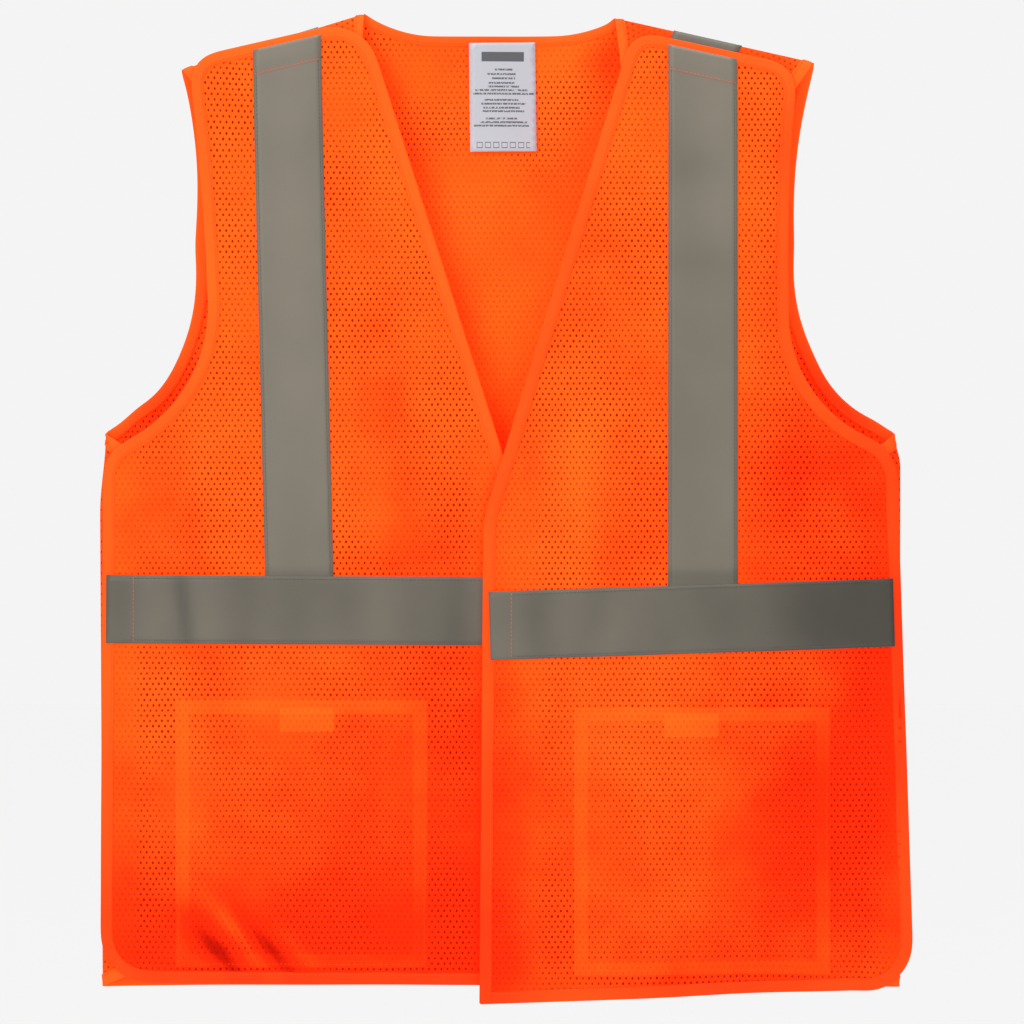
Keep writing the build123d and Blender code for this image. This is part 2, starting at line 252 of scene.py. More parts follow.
@dataclass(frozen=True)
class Ripple:
    """Low waves that run all over a cloth, worked out from a seed."""

    seed: int
    length: float
    height: float
    count: int = 9

    def lift(self, flat: Array) -> Array:
        """Height of the waves over each flat place."""
        rng = np.random.default_rng(self.seed)
        total = np.zeros(len(flat))
        for _ in range(self.count):
            heading, phase = rng.uniform(0.0, 2.0 * math.pi, 2)
            pace = 2.0 * math.pi / (self.length * rng.uniform(0.7, 1.6))
            direction = np.array([math.cos(heading), math.sin(heading)])
            total += np.sin(flat @ direction * pace + phase)
        return self.height * total / math.sqrt(self.count)


@dataclass
class FoldLine:
    """A line where the back cloth folds round to the front, in the plane of the laid-out vest."""

    start: Array
    end: Array
    out: Array
    radius: float = 2.2 * MM
    spread: float = 105 * MM
    reach: float = 12 * MM

    def square_up(self) -> None:
        """Turn the outward direction square to the line."""
        along = unit(self.end - self.start)
        square = np.array([-along[1], along[0]])
        self.out = square * float(np.sign(square @ self.out))

    @property
    def give(self) -> float:
        """How much further the flat cut reaches than the folded edge."""
        return (math.pi / 2 - 1.0) * self.radius

    def tilt(self, sign: int) -> float:
        """Slope of the line on one half of the vest."""
        run = self.end - self.start
        return math.atan2(run[1] * sign, abs(run[0]))

    def height_at(self, x: Array | float) -> Array | float:
        """Height of the line at each x."""
        run = self.end - self.start
        return self.start[1] + (x - self.start[0]) * run[1] / run[0]

    def openness(self, place: Array) -> Array:
        """How far the two layers have parted, from 0 at the fold to 1 well inside the vest."""
        distance, _ = along_segment(place, self.start, self.end)
        return ease(distance / self.spread)

    def rows(self) -> Array:
        """Flat places in rows along the fold, close enough together to turn smoothly."""
        line = spaced(np.array([self.start, self.end]), 3.2 * MM)
        offsets = np.linspace(-1.15, 1.15, 7) * math.pi / 2 * self.radius + self.give
        return np.vstack([line + self.out * offset for offset in offsets])

    def wrap(self, flat: Array) -> tuple[Array, Array, Array]:
        """Fold flat places round the line.

        Args:
            flat: places on the flat cut.

        Returns:
            Which places the fold moves, where they come to lie, and how far round they are, from
            -1 on the back to +1 on the front.
        """
        run = unit(self.end - self.start)
        along = (flat - self.start) @ run
        past = (flat - self.start) @ self.out - self.give
        quarter = math.pi / 2 * self.radius
        length = float(np.linalg.norm(self.end - self.start))
        moved = (past > -quarter) & (along > -self.reach) & (along < length + self.reach)
        angle = np.clip(past / self.radius, -math.pi / 2, math.pi / 2)
        back_in = self.radius * (1.0 - np.cos(angle)) + np.maximum(np.abs(past) - quarter, 0.0)
        place = flat - np.outer(past + self.give + back_in, self.out)
        return moved, place, np.sin(angle)


@dataclass(frozen=True)
class Drape:
    """How one half of the laid-out vest departs from its straight cut.

    The side fold runs between two places in x. The shoulder fold is raised at the neck and at the
    tip. The armhole swells out beside the shoulder blade and is scooped in at its foot. The back
    strap leans as it climbs, and the side is nipped in over a reach below the armpit.
    """

    side_fold_x: tuple[float, float]
    shoulder_rise: tuple[float, float]
    swell: float
    scoop: float
    strap_lean: float
    nip_reach: float


@dataclass(frozen=True)
class Half:
    """One half of the vest as the CAD lays it out."""

    name: str
    sign: int
    drape: Drape

    def node(self, pattern: str) -> str:
        """Name of this half's node."""
        return pattern.format(self.name)

    @property
    def flap_y(self) -> float:
        """Depth of the middle of the flap under the front."""
        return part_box(self.node("back_{}_side_loop"))[1].y + 0.7 * MM

    @property
    def hinge(self) -> tuple[float, float, float]:
        """A point on the hinge between the side margin and the front."""
        return next(j for j in frame["joints"] if j["name"] == f"{self.name}_open")["pos_m"]

    @property
    def side_body(self) -> Body:
        """Body of the side margin."""
        return Body(f"{self.name}_side")

    @property
    def front_body(self) -> Body:
        """Body of the front that opens."""
        return Body(f"{self.name}_front")


RIGHT = Half("right", -1, Drape((-0.3042, -0.3020), (1.0 * MM, 0.4 * MM), 3.8 * MM, 3.4 * MM, -9 * MM, 60 * MM))
LEFT = Half("left", 1, Drape((0.2950, 0.2943), (2.6 * MM, 4.2 * MM), 1.3 * MM, 5.0 * MM, 5 * MM, 24 * MM))
HALVES = (RIGHT, LEFT)


def nearest_corner(rim: Array, place: Array) -> int:
    """Number of the rim's point that lies nearest to a place."""
    return int(np.argmin(np.linalg.norm(rim - place, axis=1)))


def stretch(rim: Array, first: Array, last: Array, step: int = 1) -> Array:
    """Points of a closed rim from one corner to another, forwards or, with a step of -1, backwards."""
    start, stop = nearest_corner(rim, first), nearest_corner(rim, last)
    count = (stop - start) * step % len(rim)
    return rim[(start + step * np.arange(count + 1)) % len(rim)]


class Lay:
    """The laid-out vest: the edges of its cut and the lines that it is folded on."""

    shoulder_flap = 52 * MM
    side_flap = 45 * MM
    shoulder_taper = (18 * MM, -22 * MM)
    side_taper = (26 * MM, -20 * MM)
    swell_z, swell_spread = -0.175, 0.062
    scoop_z, scoop_fade = -0.232, 0.042

    def __init__(self) -> None:
        """Read the outline of the back from the CAD, and find its folds and edges."""
        rim = slab_rim(["back_panel"], 1)
        self.hem_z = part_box("back_panel")[0].z - 1 * MM
        self.folds: dict[str, FoldLine] = {}
        self.armholes: dict[str, Array] = {}
        necks: dict[str, Array] = {}
        for half in HALVES:
            neck, tip = self.shoulder_ends(rim, half)
            corner = self.armpit_corner(rim, half)
            self.folds[f"{half.name}_shoulder"] = self.shoulder_fold(neck, tip, half)
            self.folds[f"{half.name}_side"] = self.side_fold(corner, half)
            self.armholes[half.name] = self.armhole(stretch(rim, corner, tip, half.sign), half)
            necks[half.name] = neck
        inner = stretch(rim, necks["left"], necks["right"])[1:-1]
        curve = np.vstack([self.folds["left_shoulder"].start, inner, self.folds["right_shoulder"].start])
        self.neck = settled(spaced(curve, EDGE_STEP), 4)

    @staticmethod
    def shoulder_ends(rim: Array, half: Half) -> list[Array]:
        """Ends of a shoulder's slanted cut, the one at the neck first."""
        steps = np.roll(rim, -1, axis=0) - rim
        mid, spans = rim + steps / 2, np.linalg.norm(steps, axis=1)
        slant = (spans > 60 * MM) & (mid[:, 0] * half.sign > 60 * MM) & (mid[:, 1] > -60 * MM)
        index = int(np.flatnonzero(slant)[0])
        return sorted([rim[index], rim[(index + 1) % len(rim)]], key=lambda place: abs(place[0]))

    @staticmethod
    def armpit_corner(rim: Array, half: Half) -> Array:
        """Top of a side's upright cut."""
        steps = np.roll(rim, -1, axis=0) - rim
        mid, spans = rim + steps / 2, np.linalg.norm(steps, axis=1)
        upright = (spans > 300 * MM) & (np.abs(steps[:, 0]) < 1 * MM) & (mid[:, 0] * half.sign > 0)
        index = int(np.flatnonzero(upright)[0])
        return max(rim[index], rim[(index + 1) % len(rim)], key=lambda place: place[1])

    @staticmethod
    def shoulder_fold(neck: Array, tip: Array, half: Half) -> FoldLine:
        """Fold of a shoulder, raised off its straight cut."""
        along = unit(tip - neck)
        out = np.array([-along[1], along[0]]) * half.sign
        radius = -half.flap_y / 2
        at_neck, at_tip = half.drape.shoulder_rise
        fold = FoldLine(neck + out * (radius + at_neck), tip + out * (radius + at_tip), out, spread=85 * MM)
        fold.square_up()
        return fold

    def side_fold(self, corner: Array, half: Half) -> FoldLine:
        """Fold of a side, from the armpit to the hem."""
        top_x, foot_x = half.drape.side_fold_x
        armpit, foot = np.array([top_x, corner[1] - 1 * MM]), np.array([foot_x, self.hem_z])
        fold = FoldLine(armpit, foot, np.array([half.sign, 0.0]))
        fold.square_up()
        return fold

    def armhole(self, cut: Array, half: Half) -> Array:
        """Edge of an armhole, from the side fold to the shoulder fold."""
        side, shoulder = self.folds[f"{half.name}_side"], self.folds[f"{half.name}_shoulder"]
        cut = cut[np.abs(cut[:, 0]) < 270 * MM]
        swell = half.drape.swell * np.exp(-(((cut[:, 1] - self.swell_z) / self.swell_spread) ** 2))
        scoop = half.drape.scoop * smooth((self.scoop_z - cut[:, 1]) / self.scoop_fade)
        cut[:, 0] += half.sign * (swell - scoop)
        hole = np.vstack([side.start + side.out * side.give, cut, shoulder.end])
        return settled(spaced(hole, EDGE_STEP), 6)

    def openness(self, place: Array) -> Array:
        """How far front and back have parted at each place of the laid-out vest."""
        total = np.ones(len(place))
        for fold in self.folds.values():
            total = total * fold.openness(place)
        return total

    def foot_corners(self) -> list[Array]:
        """Where the hem turns round the side folds, the right one first."""
        folds = [self.folds["right_side"], self.folds["left_side"]]
        return [fold.end + fold.out * fold.give for fold in folds]

    def flap(self, half: Half, fold_name: str) -> tuple[Array, Array]:
        """Outer corners of a flap on the flat cut, the one near the fold's start first."""
        fold = self.folds[f"{half.name}_{fold_name}"]
        depth, taper = self.shoulder_flap, self.shoulder_taper
        if fold_name == "side":
            depth, taper = self.side_flap, self.side_taper
        run = unit(fold.end - fold.start)
        return fold.start + fold.out * depth + run * taper[0], fold.end + fold.out * depth + run * taper[1]


LAY = Lay()

COMMON_RIPPLES = (Ripple(11, 150 * MM, 0.5 * MM), Ripple(12, 48 * MM, 0.16 * MM))


class Cloth:
    """A cloth as it lies. Subclasses say where a flat place comes to be."""

    outward = 1

    def at(self, flat: Array) -> Array:
        """Places in space of flat places."""
        raise NotImplementedError

    def frames(self, flat: Array) -> tuple[Array, Array]:
        """Places in space of flat places, and the cloth's outward normal at each."""
        step = 0.3 * MM
        east = self.at(flat + (step, 0.0)) - self.at(flat - (step, 0.0))
        north = self.at(flat + (0.0, step)) - self.at(flat - (0.0, step))
        return self.at(flat), unit(np.cross(east, north)) * self.outward

    def lifted(self, flat: Array, lift: float | Array) -> Array:
        """Places a given height off the cloth's outer face, or below it where negative."""
        places, normals = self.frames(flat)
        return places + normals * np.broadcast_to(lift, len(flat))[:, None]


class FrontCloth(Cloth):
    """A front panel, which lies over the flaps of the back."""

    over_flap = 3.0 * MM
    lap_press = 0.85
    shoulder_slope = 0.052
    hem_rise, hem_pinch = 1.5 * MM, 1.7 * MM

    def __init__(self, half: Half, creases: Sequence[Crease]) -> None:
        """Read the panel's outline and depth from the CAD."""
        self.half = half
        self.creases = creases
        self.hinge_x = half.hinge[0]
        nodes = [half.node("{}_side_cloth"), half.node("{}_front_panel")]
        self.outline = slab_rim(nodes, -1, self.hinge_x)
        self.edges = [settled(spaced(run, EDGE_STEP), 5) for run in split_at_corners(self.outline)]
        self.middle = half.flap_y / 2
        self.ripples = COMMON_RIPPLES + (Ripple(20 + half.sign, 95 * MM, 0.5 * MM),)

    def relief(self, flat: Array) -> Array:
        """How far the cloth stands out to the front of its smooth lie."""
        lift = sum(c.lift(flat) for c in self.creases) + sum(r.lift(flat) for r in self.ripples)
        lapped = 1.0 - smooth((np.abs(flat[:, 0] + 1 * MM) - 22 * MM) / (60 * MM))
        below_vee = smooth((VEE_FOOT_Z - flat[:, 1]) / 0.08)
        return lift * (1.0 - self.lap_press * lapped * below_vee)

    def drawn_up(self, flat: Array) -> Array:
        """How far the cloth is drawn up: the right front by its shoulder, the left by creases above its hem."""
        x, z = flat[:, 0], flat[:, 1]
        if self.half is RIGHT:
            outside_strap, near_shoulder = np.maximum(-0.132 - x, 0.0), smooth((z + 0.110) / 0.070)
            return self.shoulder_slope * outside_strap * near_shoulder
        drawn = self.hem_rise + self.hem_pinch * np.exp(-(((x - 0.190) / 0.060) ** 2))
        near_hem, off_side = smooth((-0.640 - z) / 0.070), smooth((0.285 - x) / 0.030)
        return drawn * near_hem * off_side

    def at(self, flat: Array) -> Array:
        """Places in space of flat places."""
        gap = FoldLine.radius + (-self.middle - FoldLine.radius) * LAY.openness(flat)
        depth = self.middle - gap - self.over_flap - self.relief(flat)
        return np.stack([flat[:, 0], depth, flat[:, 1] + self.drawn_up(flat)], axis=1)


class BackCloth(Cloth):
    """The back, with the flaps that fold round its shoulders and sides."""

    outward = -1
    nip_depth = 4.6 * MM

    def __init__(self, creases: Sequence[Crease], fronts: dict[str, FrontCloth]) -> None:
        """Lay the back behind its fronts."""
        self.creases = creases
        self.fronts = fronts
        self.ripples = (Ripple(31, 170 * MM, 0.9 * MM), Ripple(32, 60 * MM, 0.2 * MM))

    def outline(self) -> Array:
        """Edge of the flat cut, anticlockwise from the bottom of the right side."""
        left_side, right_side = LAY.flap(LEFT, "side"), LAY.flap(RIGHT, "side")
        left_top, right_top = LAY.flap(LEFT, "shoulder"), LAY.flap(RIGHT, "shoulder")
        runs = (
            [right_side[1], *LAY.foot_corners(), left_side[1], left_side[0]],
            LAY.armholes["left"],
            [left_top[1], left_top[0]],
            LAY.neck,
            [right_top[0], right_top[1]],
            LAY.armholes["right"][::-1],
            [right_side[0], right_side[1]],
        )
        points = np.vstack([np.array(run) for run in runs])
        return np.vstack([spaced(points[i: i + 2], EDGE_STEP)[:-1] for i in range(len(points) - 1)])

    def nip(self, place: Array) -> Array:
        """How far the side folds draw in below the armpits."""
        top = LAY.folds["left_side"].start[1]
        outer = smooth((np.abs(place[:, 0]) - 272 * MM) / (26 * MM))
        reach = np.where(place[:, 0] < 0, RIGHT.drape.nip_reach, LEFT.drape.nip_reach)
        return self.nip_depth * outer * (1.0 - smooth((top - place[:, 1]) / reach))

    def at(self, flat: Array) -> Array:
        """Places in space of flat places."""
        place, turn = flat.copy(), -np.ones(len(flat))
        for fold in LAY.folds.values():
            moved, where, how_far = fold.wrap(flat)
            place[moved], turn[moved] = where[moved], how_far[moved]
        place[:, 0] -= np.sign(place[:, 0]) * self.nip(place)
        blend = smooth((place[:, 0] + 100 * MM) / (200 * MM))
        middle = RIGHT.flap_y / 2 * (1 - blend) + LEFT.flap_y / 2 * blend
        gap = FoldLine.radius + (-middle - FoldLine.radius) * LAY.openness(place)
        front = (1.0 + turn) / 2
        relief = sum(c.lift(place) for c in self.creases) + sum(r.lift(place) for r in self.ripples)
        on_left = place[:, 0] > 0
        ahead = np.where(on_left, self.fronts["left"].relief(place), self.fronts["right"].relief(place))
        depth = middle - turn * gap + (1.0 - front) * relief - front * ahead
        return np.stack([place[:, 0], depth, place[:, 1]], axis=1)


# ---------------------------------------------------------------- making meshes


def new_piece(name: str, points: Array, faces: Sequence[Sequence[int]], uv: Array) -> bpy.types.Object:
    """Make a mesh object at the origin with a UV map in metres.

    Args:
        name: the piece's name.
        points: its vertices.
        faces: its faces as vertex numbers.
        uv: one place a vertex on the flat cut.

    Returns:
        The new object, smooth shaded.
    """
    mesh = bpy.data.meshes.new(name)
    mesh.from_pydata(points.tolist(), [], [tuple(int(i) for i in f) for f in faces])
    layer = mesh.uv_layers.new(name="flat")
    corners = np.zeros(len(mesh.loops), np.int32)
    mesh.loops.foreach_get("vertex_index", corners)
    layer.data.foreach_set("uv", uv[corners].astype(np.float32).ravel())
    mesh.polygons.foreach_set("use_smooth", np.ones(len(mesh.polygons), bool))
    mesh.update()
    piece = bpy.data.objects.new(name, mesh)
    bpy.context.scene.collection.objects.link(piece)
    return piece


def only(piece: bpy.types.Object) -> None:
    """Select one piece and make it active."""
    bpy.ops.object.select_all(action="DESELECT")
    piece.select_set(True)
    bpy.context.view_layer.objects.active = piece


def thicken(piece: bpy.types.Object, thickness: float) -> None:
    """Give a sheet its thickness, half to each side."""
    only(piece)
    wall = piece.modifiers.new("thickness", "SOLIDIFY")
    wall.thickness = thickness
    wall.offset = 0.0
    wall.use_even_offset = True
    bpy.ops.object.modifier_apply(modifier=wall.name)


def net(outline: Array, spacing: float, dense_x: float | None = None,
        rows: Array | None = None) -> tuple[Array, Array]:
    """Fill an outline with an even net of triangles.

    Args:
        outline: closed outline, without its first point repeated.
        spacing: distance between neighbouring points of the net.
        dense_x: upright line that gets twice as many points near it.
        rows: more points to keep, such as those along a fold.

    Returns:
        Places and triangles, anticlockwise.
    """
    low, high = outline.min(axis=0), outline.max(axis=0)
    places = []
    for number, z in enumerate(np.arange(low[1], high[1], spacing * 0.866)):
        x = np.arange(low[0] + (number % 2) * spacing / 2, high[0], spacing)
        if dense_x is not None:
            near = np.arange(dense_x - 5 * spacing, dense_x + 5 * spacing, spacing / 2)
            x = np.concatenate([x[np.abs(x - dense_x) > 5.2 * spacing], near])
        places.append(np.stack([x, np.full(len(x), z)], axis=1))
    grid = np.vstack(places)
    grid = grid[is_inside(grid, outline)]
    clear = np.ones(len(grid), bool)
    for a, b in zip(outline, np.roll(outline, -1, axis=0)):
        near = np.abs(grid - a).max(axis=1) < 3 * spacing
        near = np.flatnonzero(near & clear)
        distance, _ = along_segment(grid[near], a, b)
        clear[near[distance < 0.55 * spacing]] = False
    grid = grid[clear]
    if rows is not None:
        kept = rows[is_inside(rows, outline)]
        for start in range(0, len(outline), 2):
            kept = kept[np.linalg.norm(kept - outline[start], axis=1) > 1.2 * MM]
        far = np.array([np.abs(kept - place).max(axis=1).min() > 0.6 * spacing for place in grid])
        grid = np.vstack([grid[far], kept])
    points = np.vstack([outline, grid])
    ring = list(range(len(outline)))
    made = delaunay_2d_cdt([tuple(p) for p in points], [], [ring], 1, 1e-7)
    return np.array([tuple(v) for v in made[0]]), np.array(made[2])


def sheet(name: str, cloth: Cloth, outline: Array, spacing: float, thickness: float,
          lift: float = 0.0, dense_x: float | None = None, rows: Array | None = None) -> bpy.types.Object:
    """Cut a sheet to an outline and lay it on a cloth."""
    places, triangles = net(outline, spacing, dense_x, rows)
    if cloth.outward < 0:
        triangles = triangles[:, ::-1]
    piece = new_piece(name, cloth.lifted(places, lift), triangles, places)
    thicken(piece, thickness)
    return piece


def normals_of(path: Array, closed: bool) -> Array:
    """Unit normals of a path, to the left of its direction."""
    if closed:
        run = np.roll(path, -1, axis=0) - np.roll(path, 1, axis=0)
    else:
        run = np.gradient(path, axis=0)
    run = unit(run)
    return np.stack([-run[:, 1], run[:, 0]], axis=1)


def ribbon(name: str, cloth: Cloth, path: Array, width: float, lift: float, thickness: float,
           step: float = 4 * MM, across: int = 11, end_lift: float = 0.0) -> bpy.types.Object:
    """Lay a straight-edged band along a path, for tape and closure strips.

    Args:
        name: the piece's name.
        cloth: the cloth that it lies on.
        path: flat places of the band's middle line.
        width: its width.
        lift: height of its middle off the cloth.
        thickness: its own thickness.
        step: length of one division.
        across: number of points across its width.
        end_lift: how much higher its two ends lie, over an edge binding.

    Returns:
        The band.
    """
    line = spaced(path, step)
    sides = normals_of(line, False)
    offsets = np.linspace(-width / 2, width / 2, across)
    flat = (line[:, None, :] + sides[:, None, :] * offsets[None, :, None]).reshape(-1, 2)
    run = lengths_along(line)
    uv = np.stack([np.repeat(run, across), np.tile(offsets, len(line))], axis=1)
    index = np.arange(len(line) * across).reshape(len(line), across)
    quads = np.stack([index[:-1, :-1], index[1:, :-1], index[1:, 1:], index[:-1, 1:]], axis=-1)
    quads = quads.reshape(-1, 4)
    if cloth.outward < 0:
        quads = quads[:, ::-1]
    near_end = np.repeat(np.minimum(run, run[-1] - run), across)
    height = lift + end_lift * (1.0 - smooth((near_end - 9 * MM) / (9 * MM)))
    piece = new_piece(name, cloth.lifted(flat, height), quads, uv)
    thicken(piece, thickness)
    return piece


@dataclass(frozen=True)
class Binding:
    """Edge tape folded over the edge of a cloth."""

    width: float = 8.2 * MM
    height: float = 0.9 * MM
    nose: float = 0.9 * MM
    step: float = 3.2 * MM
    seed: int = 5

    def section(self) -> Array:
        """Outline of the folded tape: distance in from the edge, and height off the cloth."""
        w, h, n = self.width, self.height, self.nose
        upper = [(w, 0.42 * h), (0.98 * w, 0.9 * h), (0.86 * w, 0.84 * h), (0.70 * w, 0.98 * h),
                 (0.38 * w, 1.0 * h), (0.12 * w, 0.98 * h), (-0.35 * n, 0.74 * h), (-0.9 * n, 0.3 * h)]
        lower = [(d, -lift) for d, lift in upper[::-1]]
        return np.array(upper + lower)

    def lay(self, name: str, cloth: Cloth, path: Array, closed: bool = False,
            extra: float = 0.0, rise: float = 0.0) -> bpy.types.Object:
        """Fold the tape over an edge.

        Args:
            name: the piece's name.
            cloth: the cloth that is bound.
            path: the edge on the flat cut, with the cloth on its left.
            closed: whether the path is a closed loop.
            extra: added height, where two bindings cross.
            rise: added height at the end of the run, where it lies on its own start.

        Returns:
            The binding, as one closed tube.
        """
        line = path[:-1] if closed else path
        inward = normals_of(line, closed)
        rng = np.random.default_rng(self.seed)
        wobble = np.convolve(rng.normal(0.0, 1.0, len(line) + 8), np.ones(9) / 9, "valid")[: len(line)]
        edge, _ = cloth.frames(line)
        inner, _ = cloth.frames(line + inward * 1.5 * MM)
        outwards = unit(edge - inner)
        section = self.section()
        rings, across = [], []
        developed = 0.0
        run = lengths_along(line)
        added = extra + rise * (1.0 - smooth((run[-1] - run) / (14 * MM)))
        for number, (depth, lift) in enumerate(section):
            if number:
                developed += float(np.linalg.norm(section[number] - section[number - 1]))
            inset = np.maximum(depth * (1.0 + 0.05 * wobble), 0.0)
            height = lift + math.copysign(1.0, lift) * added
            place = cloth.lifted(line + inward * inset[:, None], height)
            rings.append(place + outwards * max(-depth, 0.0))
            across.append(np.full(len(line), developed))
        sides = len(section)
        points = np.stack(rings, axis=1).reshape(-1, 3)
        uv = np.stack([np.repeat(run, sides), np.stack(across, axis=1).ravel()], axis=1)
        index = np.arange(len(line) * sides).reshape(len(line), sides)
        ahead = np.roll(index, -1, axis=0) if closed else index[1:]
        here = index if closed else index[:-1]
        quads = np.stack([here, ahead, np.roll(ahead, -1, axis=1), np.roll(here, -1, axis=1)], axis=-1)
        faces = [tuple(q) for q in quads.reshape(-1, 4)]
        if not closed:
            faces += [tuple(index[0]), tuple(index[-1][::-1])]
        piece = new_piece(name, points, faces, uv)
        face_outwards(piece)
        return piece


def face_outwards(piece: bpy.types.Object) -> None:
    """Turn the faces of a closed piece outwards."""
    only(piece)
    bpy.ops.object.mode_set(mode="EDIT")
    bpy.ops.mesh.select_all(action="SELECT")
    bpy.ops.mesh.normals_make_consistent(inside=False)
    bpy.ops.object.mode_set(mode="OBJECT")


@dataclass(frozen=True)
class Seam:
    """A row of lockstitches."""

    pitch: float = 3.0 * MM
    length: float = 2.3 * MM
    thread: float = 0.42 * MM

    def lay(self, name: str, cloth: Cloth, paths: Iterable[Array], lift: float) -> bpy.types.Object:
        """Sew along paths on the flat cut.

        Args:
            name: the piece's name.
            cloth: the cloth that is sewn.
            paths: middle lines of the rows.
            lift: height of the thread's middle off the cloth.

        Returns:
            All the stitches as one piece.
        """
        centres, headings = [], []
        for path in paths:
            line = spaced(np.asarray(path, float), self.pitch)
            centres.append((line[:-1] + line[1:]) / 2)
            headings.append(unit(np.diff(line, axis=0)))
        flat, heading = np.vstack(centres), np.vstack(headings)
        _, normal = cloth.frames(flat)
        middle = cloth.lifted(flat, lift)
        tangent = unit(cloth.at(flat + heading * 0.5 * MM) - cloth.at(flat - heading * 0.5 * MM))
        side = unit(np.cross(normal, tangent))
        stations = np.array([(-0.5, 0.35, -0.5), (-0.36, 0.85, 0.0), (0.36, 0.85, 0.0), (0.5, 0.35, -0.5)])
        spokes = np.linspace(0.0, 2.0 * math.pi, 6, endpoint=False)
        ring = []
        for along, swell, drop in stations:
            for spoke in spokes:
                out = self.thread / 2 * swell
                ring.append((along * self.length, math.cos(spoke) * out,
                             math.sin(spoke) * out + drop * self.thread))
        ring_array = np.array(ring)
        points = (middle[:, None, :] + ring_array[None, :, :1] * tangent[:, None, :]
                  + ring_array[None, :, 1:2] * side[:, None, :] + ring_array[None, :, 2:] * normal[:, None, :])
        faces = []
        for row in range(3):
            for spoke in range(6):
                after = (spoke + 1) % 6
                faces.append((row * 6 + spoke, row * 6 + after, row * 6 + 6 + after, row * 6 + 6 + spoke))
        faces += [tuple(range(5, -1, -1)), tuple(range(18, 24))]
        every = [tuple(i + 24 * n for i in face) for n in range(len(flat)) for face in faces]
        uv = np.repeat(flat, 24, axis=0)
        piece = new_piece(name, points.reshape(-1, 3), every, uv)
        face_outwards(piece)
        return piece


GREY_SEAM = Seam(thread=0.36 * MM)


def rounded(centre: Sequence[float], size: Sequence[float], corner: float, tilt: float = 0.0) -> Array:
    """Rectangle with rounded corners, turned by tilt, as a closed outline."""
    half = np.array(size) / 2 - corner
    points = []
    for number, (sx, sz) in enumerate(((1, 1), (-1, 1), (-1, -1), (1, -1))):
        for angle in np.linspace(number * math.pi / 2, (number + 1) * math.pi / 2, 5):
            points.append((sx * half[0] + corner * math.cos(angle), sz * half[1] + corner * math.sin(angle)))
    shape = np.array(points)
    turned = np.array([[math.cos(tilt), math.sin(tilt)], [-math.sin(tilt), math.cos(tilt)]])
    shape = shape @ turned + np.array(centre)
    closed = np.vstack([shape, shape[:1]])
    return np.vstack([spaced(closed[i: i + 2], EDGE_STEP)[:-1] for i in range(len(shape))])


# ---------------------------------------------------------------- finishes

Socket = bpy.types.NodeSocket
Value = float | tuple | Socket


class Graph:
    """A node tree under construction."""

    def __init__(self, tree: bpy.types.NodeTree) -> None:
        """Start from an empty tree."""
        self.tree = tree
        tree.nodes.clear()

    def node(self, kind: str, inputs: dict | None = None, **settings: object) -> bpy.types.Node:
        """Add a node, set its options and feed its inputs with values or with other sockets."""
        made = self.tree.nodes.new(f"ShaderNode{kind}")
        for key, value in settings.items():
            setattr(made, key, value)
        for key, value in (inputs or {}).items():
            if isinstance(value, bpy.types.NodeSocket):
                self.tree.links.new(value, made.inputs[key])
            else:
                made.inputs[key].default_value = value
        return made

    def math(self, operation: str, *values: Value, clamp: bool = False) -> Socket:
        """Arithmetic on one, two or three values."""
        return self.node("Math", dict(enumerate(values)), operation=operation, use_clamp=clamp).outputs[0]

    def ramp(self, value: Socket, start: float, end: float, low: float = 0.0, high: float = 1.0) -> Socket:
        """Smooth step from low at start to high at end."""
        inputs = {0: value, 1: start, 2: end, 3: low, 4: high}
        return self.node("MapRange", inputs, interpolation_type="SMOOTHSTEP").outputs[0]

    def mix(self, share: Value, first: Value, second: Value) -> Socket:
        """Mix two colours."""
        made = self.node("Mix", {0: share, 6: first, 7: second}, data_type="RGBA")
        return made.outputs[2]

    def flat(self) -> tuple[Socket, Socket, Socket]:
        """The place on the flat cut, as a vector and as its two parts."""
        uv = self.node("UVMap", uv_map="flat").outputs[0]
        parts = self.node("SeparateXYZ", {0: uv})
        return uv, parts.outputs[0], parts.outputs[1]

    def noise(self, where: Socket, size: float, detail: float = 2.0) -> Socket:
        """Cloudy values from 0 to 1 whose blots are about the given size."""
        return self.node("TexNoise", {"Vector": where, "Scale": 1.0 / size, "Detail": detail}).outputs[0]

    def cloud(self, where: Socket, size: float, detail: float) -> Socket:
        """Cloudy values about zero, from -0.5 to 0.5."""
        return self.math("SUBTRACT", self.noise(where, size, detail), 0.5)

    def painted(self, name: str) -> Socket:
        """A value that was painted on the piece."""
        return self.node("Attribute", attribute_name=name).outputs["Fac"]


def group(name: str, inputs: Sequence[str], outputs: Sequence[str]) -> tuple[bpy.types.NodeTree, Graph, list]:
    """Start a shared node group whose sockets are plain values."""
    tree = bpy.data.node_groups.new(name, "ShaderNodeTree")
    for text in inputs:
        tree.interface.new_socket(name=text, in_out="INPUT", socket_type="NodeSocketFloat")
    for text in outputs:
        tree.interface.new_socket(name=text, in_out="OUTPUT", socket_type="NodeSocketFloat")
    graph = Graph(tree)
    entry = tree.nodes.new("NodeGroupInput")
    return tree, graph, list(entry.outputs)


def close_group(graph: Graph, values: Sequence[Socket]) -> None:
    """Send a group's results out."""
    end = graph.tree.nodes.new("NodeGroupOutput")
    for number, value in enumerate(values):
        graph.tree.links.new(value, end.inputs[number])


